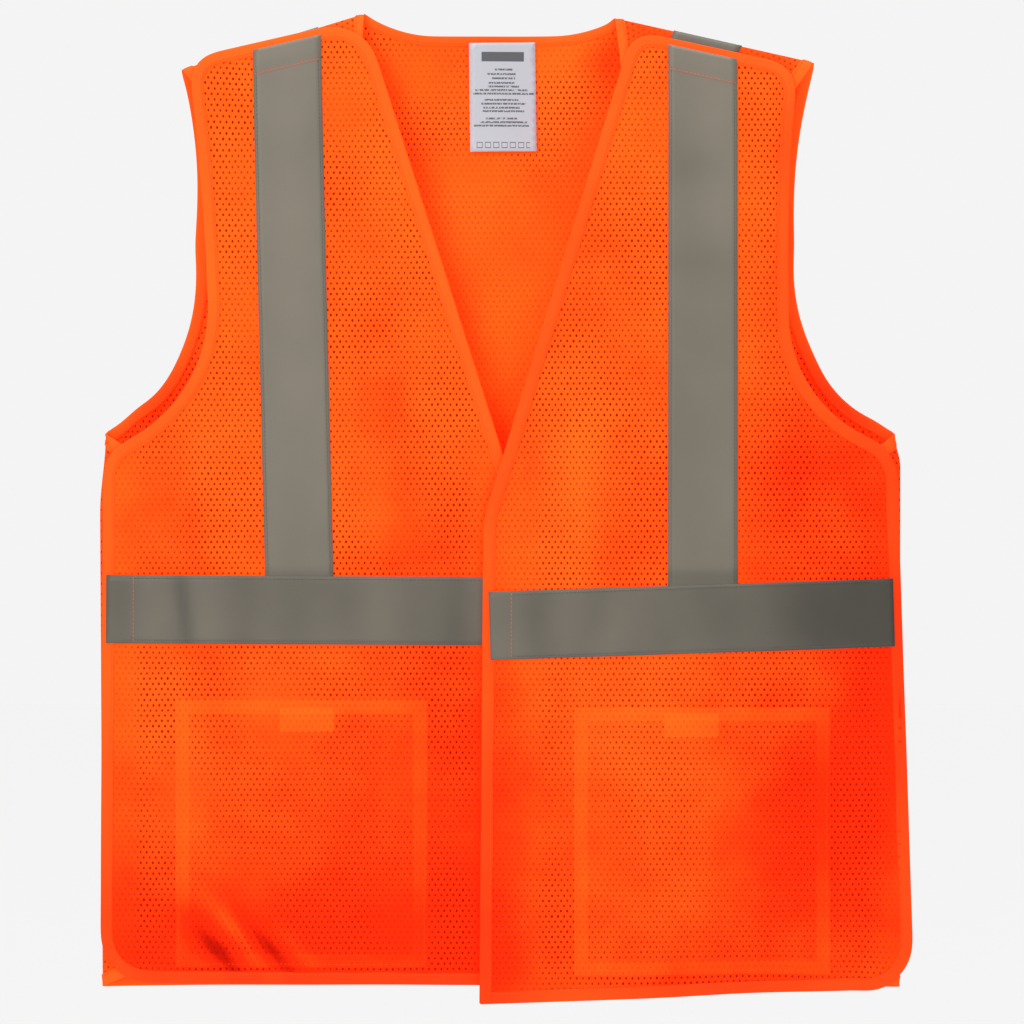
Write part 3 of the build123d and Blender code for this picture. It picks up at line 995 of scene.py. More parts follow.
def knit_group() -> bpy.types.NodeTree:
    """Eyelet knit: holes in staggered rows, and the height of the knit between them."""
    tree, g, _ = group("eyelet knit", [], ["Hole", "Height"])
    uv, x, z = g.flat()
    drift = g.cloud(uv, 26 * MM, 1.0)
    x = g.math("MULTIPLY_ADD", drift, 1.6 * MM, x)
    z = g.math("MULTIPLY_ADD", drift, -1.2 * MM, z)
    rows = g.math("DIVIDE", z, 3.93 * MM)
    row = g.math("FLOOR", rows)
    shift = g.math("FRACT", g.math("MULTIPLY", row, 0.5))
    columns = g.math("ADD", g.math("DIVIDE", x, 4.58 * MM), shift)
    cell = g.node("CombineXYZ", {0: g.math("FLOOR", columns), 1: row}).outputs[0]
    chance = g.node("TexWhiteNoise", {"Vector": cell}, noise_dimensions="2D").outputs[0]
    across = g.math("MULTIPLY", g.math("SUBTRACT", g.math("FRACT", columns), 0.5), 4.58 / 0.74)
    up = g.math("MULTIPLY", g.math("SUBTRACT", g.math("FRACT", rows), 0.5), 3.93 / 1.00)
    reach = g.math("SQRT", g.math("ADD", g.math("POWER", g.math("ABSOLUTE", across), 2.0),
                                  g.math("POWER", g.math("ABSOLUTE", up), 2.0)))
    reach = g.math("MULTIPLY", reach, g.math("MULTIPLY_ADD", chance, 0.24, 0.9))
    hole = g.ramp(reach, 1.15, 0.85)
    rim = g.ramp(reach, 0.9, 2.0)
    wales = g.math("SINE", g.math("MULTIPLY", x, 2 * math.pi / (0.76 * MM)))
    courses = g.math("SINE", g.math("MULTIPLY", z, 2 * math.pi / (0.56 * MM)))
    knit = g.math("MULTIPLY", g.math("MULTIPLY", wales, courses), 0.16)
    close_group(g, [hole, g.math("ADD", rim, knit)])
    return tree


def twill_group() -> bpy.types.NodeTree:
    """Close twill of the edge tape: the height of its slanted ribs."""
    tree, g, _ = group("edge tape twill", [], ["Height"])
    uv, x, z = g.flat()
    along, across = (2 * math.pi / (pitch * MM) for pitch in (0.8, 0.9))
    slope = g.math("ADD", g.math("MULTIPLY", x, along), g.math("MULTIPLY", z, across))
    ribs = g.math("MULTIPLY_ADD", g.math("SINE", slope), 0.35, 0.5)
    close_group(g, [g.math("ADD", ribs, g.math("MULTIPLY", g.noise(uv, 3 * MM), 0.6))])
    return tree


def frame_group() -> bpy.types.NodeTree:
    """A hemmed rectangle behind the cloth: its area, and the doubled hem round it."""
    tree, g, ins = group("hemmed rectangle", ["Middle X", "Middle Z", "Width", "Height", "Hem"], ["Area", "Hem"])
    _, x, z = g.flat()
    across = g.math("SUBTRACT", g.math("DIVIDE", ins[2], 2.0), g.math("ABSOLUTE", g.math("SUBTRACT", x, ins[0])))
    up = g.math("SUBTRACT", g.math("DIVIDE", ins[3], 2.0), g.math("ABSOLUTE", g.math("SUBTRACT", z, ins[1])))
    inset = g.math("MINIMUM", across, up)
    area = g.ramp(inset, 0.0, 1.5 * MM)
    past = g.math("SUBTRACT", inset, ins[4])
    close_group(g, [area, g.math("MULTIPLY", area, g.ramp(past, 1.0 * MM, -1.0 * MM))])
    return tree


KNIT, TWILL, RECTANGLE = knit_group(), twill_group(), frame_group()


def use(g: Graph, tree: bpy.types.NodeTree, inputs: dict | None = None) -> list[Socket]:
    """Place a shared group in a material."""
    made = g.tree.nodes.new("ShaderNodeGroup")
    made.node_tree = tree
    for key, value in (inputs or {}).items():
        made.inputs[key].default_value = value
    return list(made.outputs)


def material(name: str) -> tuple[bpy.types.Material, Graph]:
    """Start a material."""
    made = bpy.data.materials.new(name)
    made.use_nodes = True
    return made, Graph(made.node_tree)


def surface(g: Graph, inputs: dict) -> None:
    """End a material with one Principled shader."""
    shader = g.node("BsdfPrincipled", inputs)
    g.node("OutputMaterial", {0: shader.outputs[0]})


def bumped(g: Graph, height: Socket, distance: float, strength: float = 1.0) -> Socket:
    """Normal of a height in metres."""
    inputs = {"Height": height, "Distance": distance, "Strength": strength}
    return g.node("Bump", inputs).outputs[0]


@dataclass(frozen=True)
class Dye:
    """Fluorescent colour: a painted shaded copy and a lit copy of it, a darker colour for painted deep shade, and a
    red emission that is partly the dye's real fluorescence and partly a painted glow that keeps the red bright in
    shade.
    """

    deep: tuple = (0.93, 0.026, 0.002, 1.0)
    light: tuple = (0.95, 0.158, 0.011, 1.0)
    dark: tuple = (0.46, 0.004, 0.0, 1.0)
    # Painted glow: emission that stands for the dye's fluorescence and keeps the red bright in shade.
    glow: tuple = (1.0, 0.010, 0.0005, 1.0)
    strength: float = 0.36


@dataclass(frozen=True)
class KnitFinish:
    """Eyelet knit cloth in a fluorescent colour, with painted light and shade, painted shadow in its holes and a
    painted red glow.
    """

    name: str
    dye: Dye = Dye()
    pocket: tuple | None = None
    patch: tuple | None = None
    hole_clearness: float = 0.2
    # Painted shadow of the layer behind, seen through the holes.
    hole_colour: tuple = (0.30, 0.0, 0.0, 1.0)

    def make(self) -> bpy.types.Material:
        """Build the material."""
        made, g = material(self.name)
        uv, _, _ = g.flat()
        hole, height = use(g, KNIT)
        # Painted light and shade from the painted tone, between the shaded and the lit copy of the dye, and into the
        # dark colour where the tone drops below zero.
        tone = g.painted("tone")
        depth = g.painted("depth")
        blots = g.cloud(uv, 34 * MM, 3.0)
        tone = g.math("MULTIPLY_ADD", blots, 0.35, tone)
        if self.pocket:
            keys = ("Middle X", "Middle Z", "Width", "Height", "Hem")
            area, hem = use(g, RECTANGLE, dict(zip(keys, self.pocket)))
            patch, _ = use(g, RECTANGLE, dict(zip(keys, self.patch)))
            # Painted light where the pocket and its closure patch back the cloth, with weaker painted shadow in the
            # holes there.
            backing_light = g.math("ADD", g.math("MULTIPLY", area, 0.05), g.math("MULTIPLY", hem, 0.11))
            backing_light = g.math("MULTIPLY_ADD", patch, 0.2, backing_light)
            tone = g.math("ADD", tone, backing_light)
            for mask, share in ((area, 0.3), (hem, 0.8), (patch, 0.8)):
                depth = g.math("MULTIPLY", depth, g.math("SUBTRACT", 1.0, g.math("MULTIPLY", mask, share)))
        shade = g.ramp(tone, 0.0, -0.9)
        colour = g.mix(g.ramp(tone, 0.0, 1.0), self.dye.deep, self.dye.light)
        colour = g.mix(shade, colour, self.dye.dark)
        # Painted shadow in the holes, stronger where the painted depth says the next layer lies further behind.
        shadow = g.math("MULTIPLY", hole, g.math("MULTIPLY_ADD", depth, 0.78, 0.24))
        colour = g.mix(shadow, colour, self.hole_colour)
        # The painted glow is dimmed in the painted shadow of the holes and in painted deep shade.
        dull = g.math("MAXIMUM", g.math("MULTIPLY", shadow, 0.58), g.math("MULTIPLY", shade, 0.5))
        glow = g.math("MULTIPLY_ADD", dull, -self.dye.strength, self.dye.strength)
        seen = g.math("MULTIPLY", hole, g.math("MULTIPLY", depth, self.hole_clearness))
        surface(g, {
            "Base Color": colour, "Roughness": 0.9, "Specular IOR Level": 0.06,
            "Sheen Weight": 0.06, "Sheen Roughness": 0.5, "Sheen Tint": (1.0, 0.35, 0.08, 1.0),
            "Emission Color": self.dye.glow, "Emission Strength": glow,
            "Alpha": g.math("SUBTRACT", 1.0, seen),
            "Normal": bumped(g, height, 0.22 * MM, 0.8),
        })
        return made


@dataclass(frozen=True)
class TwillFinish:
    """Edge tape or thread in a fluorescent colour, with painted light and shade and a painted red glow."""

    name: str
    dye: Dye = Dye(light=(0.96, 0.170, 0.012, 1.0), deep=(0.94, 0.045, 0.003, 1.0))
    rib: float = 0.1 * MM

    def make(self) -> bpy.types.Material:
        """Build the material."""
        made, g = material(self.name)
        uv, _, _ = g.flat()
        height, = use(g, TWILL)
        # Painted light and shade, carried over from the cloth beside the tape.
        tone = g.painted("tone")
        blots = g.cloud(uv, 90 * MM, 3.0)
        tone = g.math("MULTIPLY_ADD", blots, 0.3, tone, clamp=True)
        surface(g, {
            "Base Color": g.mix(tone, self.dye.deep, self.dye.light), "Roughness": 0.75,
            "Specular IOR Level": 0.12, "Sheen Weight": 0.04, "Sheen Tint": (1.0, 0.4, 0.1, 1.0),
            "Emission Color": self.dye.glow, "Emission Strength": self.dye.strength,
            "Normal": bumped(g, height, self.rib, 0.7),
        })
        return made


@dataclass(frozen=True)
class ReflectiveFinish:
    """Glass-bead reflective tape on grey cloth, with painted light and shade, and painted shade in the grooves of
    its stitch rows.
    """

    name: str = "reflective tape"
    deep: tuple = (0.070, 0.064, 0.050, 1.0)
    light: tuple = (0.270, 0.238, 0.186, 1.0)
    edge: tuple = (0.128, 0.116, 0.094, 1.0)

    def make(self) -> bpy.types.Material:
        """Build the material."""
        made, g = material(self.name)
        uv, _, across = g.flat()
        # Painted light and shade from the painted tone, between a shaded and a lit copy of the grey.
        tone = g.painted("tone")
        cloud = g.cloud(uv, 55 * MM, 2.0)
        grain = g.cloud(uv, 0.6 * MM, 1.0)
        share = g.math("MULTIPLY_ADD", cloud, 0.22, tone)
        share = g.math("MULTIPLY_ADD", grain, 0.12, share, clamp=True)
        colour = g.mix(share, self.deep, self.light)
        inset = g.math("SUBTRACT", TAPE_WIDTH / 2, g.math("ABSOLUTE", across))
        # The colour darkens towards the tape's long edges, and painted shade lies in the grooves along its rows of
        # stitches.
        rim = g.ramp(inset, 1.2 * MM, 0.3 * MM)
        groove = g.math("MULTIPLY", g.ramp(inset, 1.6 * MM, 2.0 * MM), g.ramp(inset, 2.6 * MM, 2.2 * MM))
        colour = g.mix(g.math("MULTIPLY_ADD", groove, 0.16, g.math("MULTIPLY", rim, 0.15)), colour, self.edge)
        height = g.math("ADD", g.math("MULTIPLY", grain, 0.25), g.math("MULTIPLY", groove, -0.35))
        surface(g, {
            "Base Color": colour, "Roughness": 0.56, "Metallic": 0.15, "Specular IOR Level": 0.4,
            "Coat Weight": 0.04, "Coat Roughness": 0.4,
            "Normal": bumped(g, height, 0.12 * MM, 0.6),
        })
        return made


@dataclass(frozen=True)
class PileFinish:
    """Hook or loop side of a closure strip, with a painted red glow."""

    name: str
    colour: tuple
    shade: tuple
    pile: float = 1.3 * MM

    def make(self) -> bpy.types.Material:
        """Build the material."""
        made, g = material(self.name)
        uv, _, _ = g.flat()
        bumps = g.node("TexVoronoi", {"Vector": uv, "Scale": 1.0 / self.pile}).outputs["Distance"]
        surface(g, {
            "Base Color": g.mix(g.ramp(bumps, 0.1, 0.7), self.colour, self.shade), "Roughness": 0.9,
            # Painted glow: emission that stands for the dye's fluorescence.
            "Emission Color": Dye().glow, "Emission Strength": 0.3,
            "Normal": bumped(g, bumps, 0.5 * MM, 0.9),
        })
        return made


@dataclass(frozen=True)
class LabelFinish:
    """Satin care label with plain bars in place of print."""

    name: str = "satin label"
    satin: tuple = (0.56, 0.585, 0.64, 1.0)
    ink: tuple = (0.025, 0.028, 0.036, 1.0)
    rows: tuple = (32.3, 28.9, 25.7, 22.2, 19.5, 16.8, 14.1, 9.4, 6.5, 3.5, 0.9, -4.6, -7.4, -10.0)
    widths: tuple = (7, 11, 9, 10, 12, 20, 23, 13, 17, 14, 16, 12, 18, 21)

    def make(self) -> bpy.types.Material:
        """Build the material. The label's own flat places have their origin in its middle."""
        made, g = material(self.name)
        uv, x, z = g.flat()
        ink: Socket | None = None
        for number, (height, width) in enumerate(zip(self.rows, self.widths)):
            near = g.math("ABSOLUTE", g.math("SUBTRACT", z, (height - 11.5) * MM))
            side = g.math("ABSOLUTE", g.math("SUBTRACT", x, (-1.0 if number % 2 else 0.6) * MM))
            bar = g.math("MULTIPLY", g.ramp(near, 0.85 * MM, 0.6 * MM), g.ramp(side, width * MM, (width - 0.6) * MM))
            ink = bar if ink is None else g.math("MAXIMUM", ink, bar)
        stretched = g.node("Mapping", {"Vector": uv, "Scale": (1.0, 0.42, 1.0)}).outputs[0]
        letters = g.ramp(g.noise(stretched, 0.9 * MM, 1.0), 0.38, 0.46)
        ink = g.math("MULTIPLY", g.math("MULTIPLY", ink, letters), 0.8)
        ink = g.math("MAXIMUM", ink, g.math("MULTIPLY", self.block(g, x, z, 30.5, 3.6, 16.0), 0.85))
        across = g.math("PINGPONG", g.math("ADD", x, 1.0), 3.1 * MM)
        inside = g.ramp(across, 0.75 * MM, 1.0 * MM)
        inner = g.math("MULTIPLY", self.block(g, x, z, -36.2, 1.7, 20.5), g.ramp(across, 1.15 * MM, 1.4 * MM))
        boxes = g.math("MULTIPLY", self.block(g, x, z, -36.2, 2.3, 20.5), inside)
        ink = g.math("MAXIMUM", ink, g.math("MULTIPLY", g.math("SUBTRACT", boxes, inner, clamp=True), 0.85))
        weave = g.math("SINE", g.math("MULTIPLY", z, 2 * math.pi / (0.5 * MM)))
        surface(g, {
            "Base Color": g.mix(ink, self.satin, self.ink), "Roughness": 0.42,
            "Sheen Weight": 0.15, "Normal": bumped(g, weave, 0.03 * MM, 0.5),
        })
        return made

    def block(self, g: Graph, x: Socket, z: Socket, height: float, half_height: float, half_width: float) -> Socket:
        """Mask of a plain rectangle, sizes in millimetres."""
        near = g.math("ABSOLUTE", g.math("SUBTRACT", z, height * MM))
        side = g.math("ABSOLUTE", x)
        tall = g.ramp(near, (half_height + 0.15) * MM, (half_height - 0.15) * MM)
        return g.math("MULTIPLY", tall, g.ramp(side, (half_width + 0.15) * MM, (half_width - 0.15) * MM))


@dataclass(frozen=True)
class ThreadFinish:
    """Sewing thread, with an optional painted red glow that stands for the dye's fluorescence."""

    name: str
    colour: tuple
    # Strength of the painted red glow.
    glow: float = 0.0

    def make(self) -> bpy.types.Material:
        """Build the material."""
        made, g = material(self.name)
        surface(g, {
            "Base Color": self.colour, "Roughness": 0.6, "Specular IOR Level": 0.15,
            "Emission Color": Dye().glow, "Emission Strength": self.glow,
        })
        return made


@dataclass(frozen=True)
class FloorFinish:
    """Plain pale floor."""

    name: str = "studio floor"
    tone: float = 0.86

    def make(self) -> bpy.types.Material:
        """Build the material."""
        made, g = material(self.name)
        grey = (self.tone, self.tone, self.tone, 1.0)
        surface(g, {"Base Color": grey, "Roughness": 0.95, "Specular IOR Level": 0.1})
        return made


@dataclass
class Finishes:
    """All finishes of the vest, made once and shared."""

    knit: dict[str, bpy.types.Material]
    binding: bpy.types.Material
    tape: bpy.types.Material
    hook: bpy.types.Material
    loop: bpy.types.Material
    label: bpy.types.Material
    thread: bpy.types.Material
    grey_thread: bpy.types.Material

    @classmethod
    def make(cls) -> "Finishes":
        """Build every finish."""
        knit = {}
        for half in HALVES:
            (x, z), size = front_box(half.node("{}_pocket"))
            pocket = (x, z, *size, 11 * MM)
            (x, z), size = front_box(half.node("{}_pocket_hook"))
            patch = (x, z, *size, 2 * MM)
            knit[half.name] = KnitFinish(f"eyelet knit {half.name}", pocket=pocket, patch=patch).make()
        knit["back"] = KnitFinish("eyelet knit back", hole_clearness=0.04).make()
        knit["pocket"] = KnitFinish("eyelet knit pocket", hole_clearness=0.8).make()
        return cls(
            knit=knit,
            binding=TwillFinish("edge tape").make(),
            tape=ReflectiveFinish().make(),
            hook=PileFinish("hook strip", (0.93, 0.110, 0.009, 1.0), (0.80, 0.055, 0.004, 1.0), 1.5 * MM).make(),
            loop=PileFinish("loop strip", (0.95, 0.140, 0.011, 1.0), (0.86, 0.080, 0.006, 1.0), 0.8 * MM).make(),
            label=LabelFinish().make(),
            thread=ThreadFinish("orange thread", (0.94, 0.10, 0.010, 1.0), 0.34).make(),
            grey_thread=ThreadFinish("grey thread", (0.13, 0.12, 0.10, 1.0)).make(),
        )


# ---------------------------------------------------------------- the vest's parts


@dataclass(frozen=True)
class Shade:
    """A soft patch of painted light or painted shade, lighter where its amount is above zero and darker below."""

    centre: tuple[float, float]
    size: tuple[float, float]
    tilt: float
    amount: float

    def over(self, flat: Array) -> Array:
        """Strength of the patch over each flat place."""
        offset = (flat - self.centre) @ np.array(
            [[math.cos(self.tilt), -math.sin(self.tilt)], [math.sin(self.tilt), math.cos(self.tilt)]])
        return self.amount * np.exp(-((offset / self.size) ** 2).sum(axis=1))


def shaded(shades: Sequence[Shade], flat: Array) -> Array:
    """Strength of several patches of painted light and shade together over each flat place."""
    return sum((shade.over(flat) for shade in shades), np.zeros(len(flat)))


def paint(piece: bpy.types.Object, name: str, values: Array) -> None:
    """Store one value a vertex for the finish to read."""
    layer = piece.data.attributes.new(name, "FLOAT", "POINT")
    layer.data.foreach_set("value", values.astype(np.float32))


def flat_places(piece: bpy.types.Object) -> Array:
    """Flat place of each vertex, read back from the piece's UV map."""
    mesh = piece.data
    corners = np.zeros(len(mesh.loops), np.int32)
    mesh.loops.foreach_get("vertex_index", corners)
    uv = np.zeros(len(mesh.loops) * 2, np.float32)
    mesh.uv_layers["flat"].data.foreach_get("uv", uv)
    places = np.zeros((len(mesh.vertices), 2))
    places[corners] = uv.reshape(-1, 2)
    return places


@dataclass
class Part:
    """A sub-assembly: it builds its pieces, then dresses them."""

    finishes: Finishes

    def build(self) -> None:
        """Make the pieces."""
        raise NotImplementedError

    def finish(self, piece: bpy.types.Object, look: bpy.types.Material, slot: str) -> None:
        """Give a piece its finish."""
        piece.data.materials.clear()
        piece.data.materials.append(look)

    def keep(self, piece: bpy.types.Object, body: Body, look: bpy.types.Material, slot: str,
             *nodes: str) -> bpy.types.Object:
        """Put a piece on its body in place of its CAD nodes."""
        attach(piece, body.value)
        if nodes:
            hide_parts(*nodes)
        self.finish(piece, look, slot)
        return piece


@dataclass(frozen=True)
class StrapCut:
    """Where the two long edges of a strap tape lie at its foot and at its head."""

    foot: tuple[float, float]
    head: tuple[float, float]
    tuck: float = 4.8 * MM


@dataclass
class Front(Part):
    """One front: panel, edge binding, tapes, closure strips and pocket."""

    half: Half = RIGHT
    cloth: FrontCloth | None = None
    # Patches of painted light and shade on the cloth and on its tapes.
    shades: Sequence[Shade] = ()
    tape_shades: Sequence[Shade] = ()
    cross_stitch_x: float = 0.0
    waist_reach: tuple[float, float] = (0.0, 0.0)
    waist_rise: tuple[float, float] = (0.0, 0.0)
    strap_edges: StrapCut | None = None
    # Share of the painted hole shadow kept in the band along the side margin.
    side_share: float = 0.3
    # Offset of the painted light and shade on the edge binding from the cloth beside it; below zero it is darker.
    edge_lift: float = -0.04
    bend: tuple[float, float] = (1 * MM, -17 * MM)

    def hinged(self, piece: bpy.types.Object, look: bpy.types.Material, slot: str, *nodes: str) -> None:
        """Bake a piece that lies across the hinge into place, hide its CAD nodes and give it its finish."""
        x, y, z = self.half.hinge
        start, end = (x + offset * self.half.sign for offset in self.bend)
        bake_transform(piece)
        if nodes:
            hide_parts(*nodes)
        self.finish(piece, look, slot)

    def on_front(self, piece: bpy.types.Object, look: bpy.types.Material, slot: str, *nodes: str) -> None:
        """Put a piece on the part of the front that opens."""
        self.keep(piece, self.half.front_body, look, slot, *nodes)

    def node(self, pattern: str) -> str:
        """Name of this front's node."""
        return self.half.node(pattern)

    def depth(self, flat: Array) -> Array:
        """Strength of the painted shadow in the holes, from 0 where the next layer touches to 1 where it lies well
        behind; it also sets how far one sees through them.
        """
        open_share = LAY.openness(flat)
        patches = Ripple(60 + self.half.sign, 105 * MM, 1.0).lift(flat)
        side = smooth((np.abs(self.cloth.hinge_x + self.half.sign * 36 * MM - flat[:, 0]) - 26 * MM) / (4 * MM))
        overlap = smooth((np.abs(flat[:, 0]) - 20 * MM) / (12 * MM))
        low = smooth((VEE_FOOT_Z - flat[:, 1]) / 0.03)
        over = 1.0 - (1.0 - overlap) * low
        lifted = np.clip(0.78 + 0.36 * patches, 0.2, 1.0)
        beside = self.side_share + (1 - self.side_share) * side
        return lifted * smooth(open_share * 2.7) * beside * (0.4 + 0.6 * over)

    def tone(self, flat: Array) -> Array:
        """Painted light and shade on the cloth, from 0 to 1: lighter towards the top and slightly lighter towards
        negative x, with soft ripples and painted patches.
        """
        fall = 0.60 + 0.12 * (flat[:, 1] + 0.36) / 0.36 - 0.04 * flat[:, 0] / 0.3
        ripple = 0.07 * Ripple(80 + self.half.sign, 120 * MM, 1.0).lift(flat)
        return fall + ripple + shaded(self.shades, flat)

    def build(self) -> None:
        """Make the front's pieces."""
        self.build_cloth()
        self.build_tapes()
        self.build_closures()
        self.build_pocket()
        self.build_seams()

    def build_cloth(self) -> None:
        """Cut and lay the panel and fold the binding over its edge."""
        name = self.half.name
        outline = np.vstack([run[:-1] for run in self.cloth.edges])
        panel = sheet(f"{name}_front_cloth", self.cloth, outline, 5.5 * MM, CLOTH_THICKNESS,
                      dense_x=self.cloth.hinge_x)
        flat = flat_places(panel)
        # Painted light and shade, and the strength of the painted shadow in the holes.
        paint(panel, "tone", self.tone(flat))
        paint(panel, "depth", self.depth(flat))
        self.hinged(panel, self.finishes.knit[name], "mesh_cloth",
                    self.node("{}_side_cloth"), self.node("{}_front_panel"))
        bindings = [
            Binding(seed=40 + number).lay(f"{name}_front_edge_{number}", self.cloth, run, rise=0.5 * MM)
            for number, run in enumerate(self.cloth.edges)
        ]
        # Each binding carries the painted light and shade of the cloth beside it.
        for binding, run in zip(bindings, self.cloth.edges):
            paint(binding, "tone", np.repeat(self.tone(run) + self.edge_lift, len(Binding().section())))
            self.hinged(binding, self.finishes.binding, "binding")
        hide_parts(self.node("{}_side_binding"), self.node("{}_front_binding"))

    def build_tapes(self) -> None:
        """Lay the waist tape and the shoulder strap tape."""
        low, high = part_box(self.node("{}_waist_tape"))
        path = self.waist_path()
        waist = ribbon(f"{self.half.name}_waist_band", self.cloth, path,
                       high.z - low.z, 0.95 * MM, TAPE_THICKNESS, end_lift=0.75 * MM)
        self.shade_tape(waist, path[0])
        self.hinged(waist, self.finishes.tape, "reflective_tape",
                    self.node("{}_waist_tape"), self.node("{}_waist_tape_end"))
        strap = self.build_strap(high.z - 4 * MM)
        self.on_front(strap, self.finishes.tape, "reflective_tape", self.node("{}_strap_tape"))

    def build_strap(self, foot_z: float) -> bpy.types.Object:
        """Strap tape from the waist to the shoulder, cut along the shoulder's edge."""
        edges = self.strap_edges
        across, count = 11, 150
        share = np.linspace(0.0, 1.0, count)
        flat = np.zeros((count, across, 2))
        for number, part in enumerate(np.linspace(0.0, 1.0, across)):
            foot = edges.foot[0] * (1 - part) + edges.foot[1] * part
            head = edges.head[0] * (1 - part) + edges.head[1] * part
            top = self.shoulder_z(np.array([head]))[0] - edges.tuck
            flat[:, number, 0] = foot * (1 - share) + head * share
            flat[:, number, 1] = foot_z * (1 - share) + top * share
        offsets = (np.linspace(0.0, 1.0, across) - 0.5) * TAPE_WIDTH
        flat = flat.reshape(-1, 2)
        uv = np.stack([flat[:, 1], np.tile(offsets, count)], axis=1)
        index = np.arange(count * across).reshape(count, across)
        quads = np.stack([index[:-1, :-1], index[:-1, 1:], index[1:, 1:], index[1:, :-1]], axis=-1).reshape(-1, 4)
        height = 0.75 * MM + 0.8 * MM * smooth((np.repeat(share, across) - 0.955) / 0.02)
        piece = new_piece(f"{self.half.name}_strap_band", self.cloth.lifted(flat, height), quads, uv)
        paint(piece, "tone", self.tape_tone(flat))
        thicken(piece, TAPE_THICKNESS)
        return piece

    def shoulder_z(self, x: Array) -> Array:
        """Height of the panel's shoulder edge at each x."""
        fold = LAY.folds[f"{self.half.name}_shoulder"]
        rim = self.cloth.outline
        near_fold = rim[:, 1] > fold.height_at(rim[:, 0]) - 16 * MM
        edge = rim[near_fold & (rim[:, 0] * self.half.sign > 60 * MM)]
        edge = edge[np.argsort(edge[:, 0])]
        return np.interp(x, edge[:, 0], edge[:, 1])

    def waist_path(self, shift: float = 0.0, trim: float = 0.0) -> Array:
        """Middle line of the waist tape, or a row beside it, with its ends trimmed."""
        low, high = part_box(self.node("{}_waist_tape"))
        ends = np.array([self.waist_reach[0] + trim, self.waist_reach[1] - trim])
        heights = (low.z + high.z) / 2 + np.array(self.waist_rise) + shift
        return np.stack([ends, heights], axis=1)

    def tape_tone(self, flat: Array) -> Array:
        """Painted light and shade on the tape, from 0 to 1: lighter higher up, darker below a set height, with
        painted waves and painted patches.
        """
        waves = 0.05 * Ripple(70 + self.half.sign, 60 * MM, 1.0).lift(flat * (1.0, 0.25))
        low = smooth((-0.395 - flat[:, 1]) / 0.01)
        return 0.73 + 0.12 * (flat[:, 1] + 0.25) - 0.25 * low + waves + shaded(self.tape_shades, flat)

    def shade_tape(self, piece: bpy.types.Object, origin: Array) -> None:
        """Paint light and shade on a tape, darker where it dips."""
        paint(piece, "tone", self.tape_tone(flat_places(piece) + origin))

    def strip(self, name: str, node: str, lift: float, look: bpy.types.Material, slot: str,
              body: Body, tilt: float = 0.0, size: tuple[float, float] | None = None) -> None:
        """Lay one closure strip where its CAD node is."""
        centre, cad_size = front_box(node)
        outline = rounded(centre, size or cad_size, STRIP_CORNER, tilt)
        piece = sheet(name, self.cloth, outline, 4 * MM, STRIP_THICKNESS, lift=lift)
        self.keep(piece, body, look, slot, node)

    def build_closures(self) -> None:
        """Lay the hook and loop strips of the side, the shoulder and the centre."""
        name, looks = self.half.name, self.finishes
        under = -0.8 * MM
        self.strip(f"{name}_side_hooks", self.node("{}_side_hook"), under, looks.hook, "hook", self.half.side_body)
        tilt = LAY.folds[f"{name}_shoulder"].tilt(self.half.sign)
        self.strip(f"{name}_shoulder_hooks", self.node("{}_shoulder_hook"), under, looks.hook, "hook",
                   self.half.front_body, tilt=tilt, size=SHOULDER_STRIP)
        if self.half is RIGHT:
            self.strip("right_centre_loops", "right_centre_loop", 0.8 * MM, looks.loop, "loop", self.half.front_body)
        else:
            self.strip("left_centre_hooks", "left_centre_hook", under, looks.hook, "hook", self.half.front_body)

    def build_pocket(self) -> None:
        """Sew the pocket to the inside of the panel, with its closure patches."""
        name = self.half.name
        low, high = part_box(self.node("{}_pocket"))
        centre, size = front_box(self.node("{}_pocket"))
        outline = rounded(centre, size, 4 * MM)

        def slack(flat: Array) -> Array:
            inset = np.minimum(np.minimum(flat[:, 0] - low.x, high.x - flat[:, 0]), flat[:, 1] - low.z)
            return -(0.9 * MM + 2.2 * MM * smooth(inset / (30 * MM)))

        places, triangles = net(outline, 7 * MM)
        pocket = new_piece(f"{name}_pocket_cloth", self.cloth.lifted(places, slack(places)), triangles, places)
        # An even painted tone, and an even strength of painted shadow in the holes.
        paint(pocket, "tone", np.full(len(places), 0.55))
        paint(pocket, "depth", np.full(len(places), 0.6))
        thicken(pocket, CLOTH_THICKNESS)
        self.on_front(pocket, self.finishes.knit["pocket"], "mesh_cloth", self.node("{}_pocket"))
        self.strip(f"{name}_pocket_hooks", self.node("{}_pocket_hook"), -0.75 * MM, self.finishes.hook, "hook",
                   self.half.front_body)
        self.strip(f"{name}_pocket_loops", self.node("{}_pocket_loop"), -1.9 * MM, self.finishes.loop, "loop",
                   self.half.front_body)

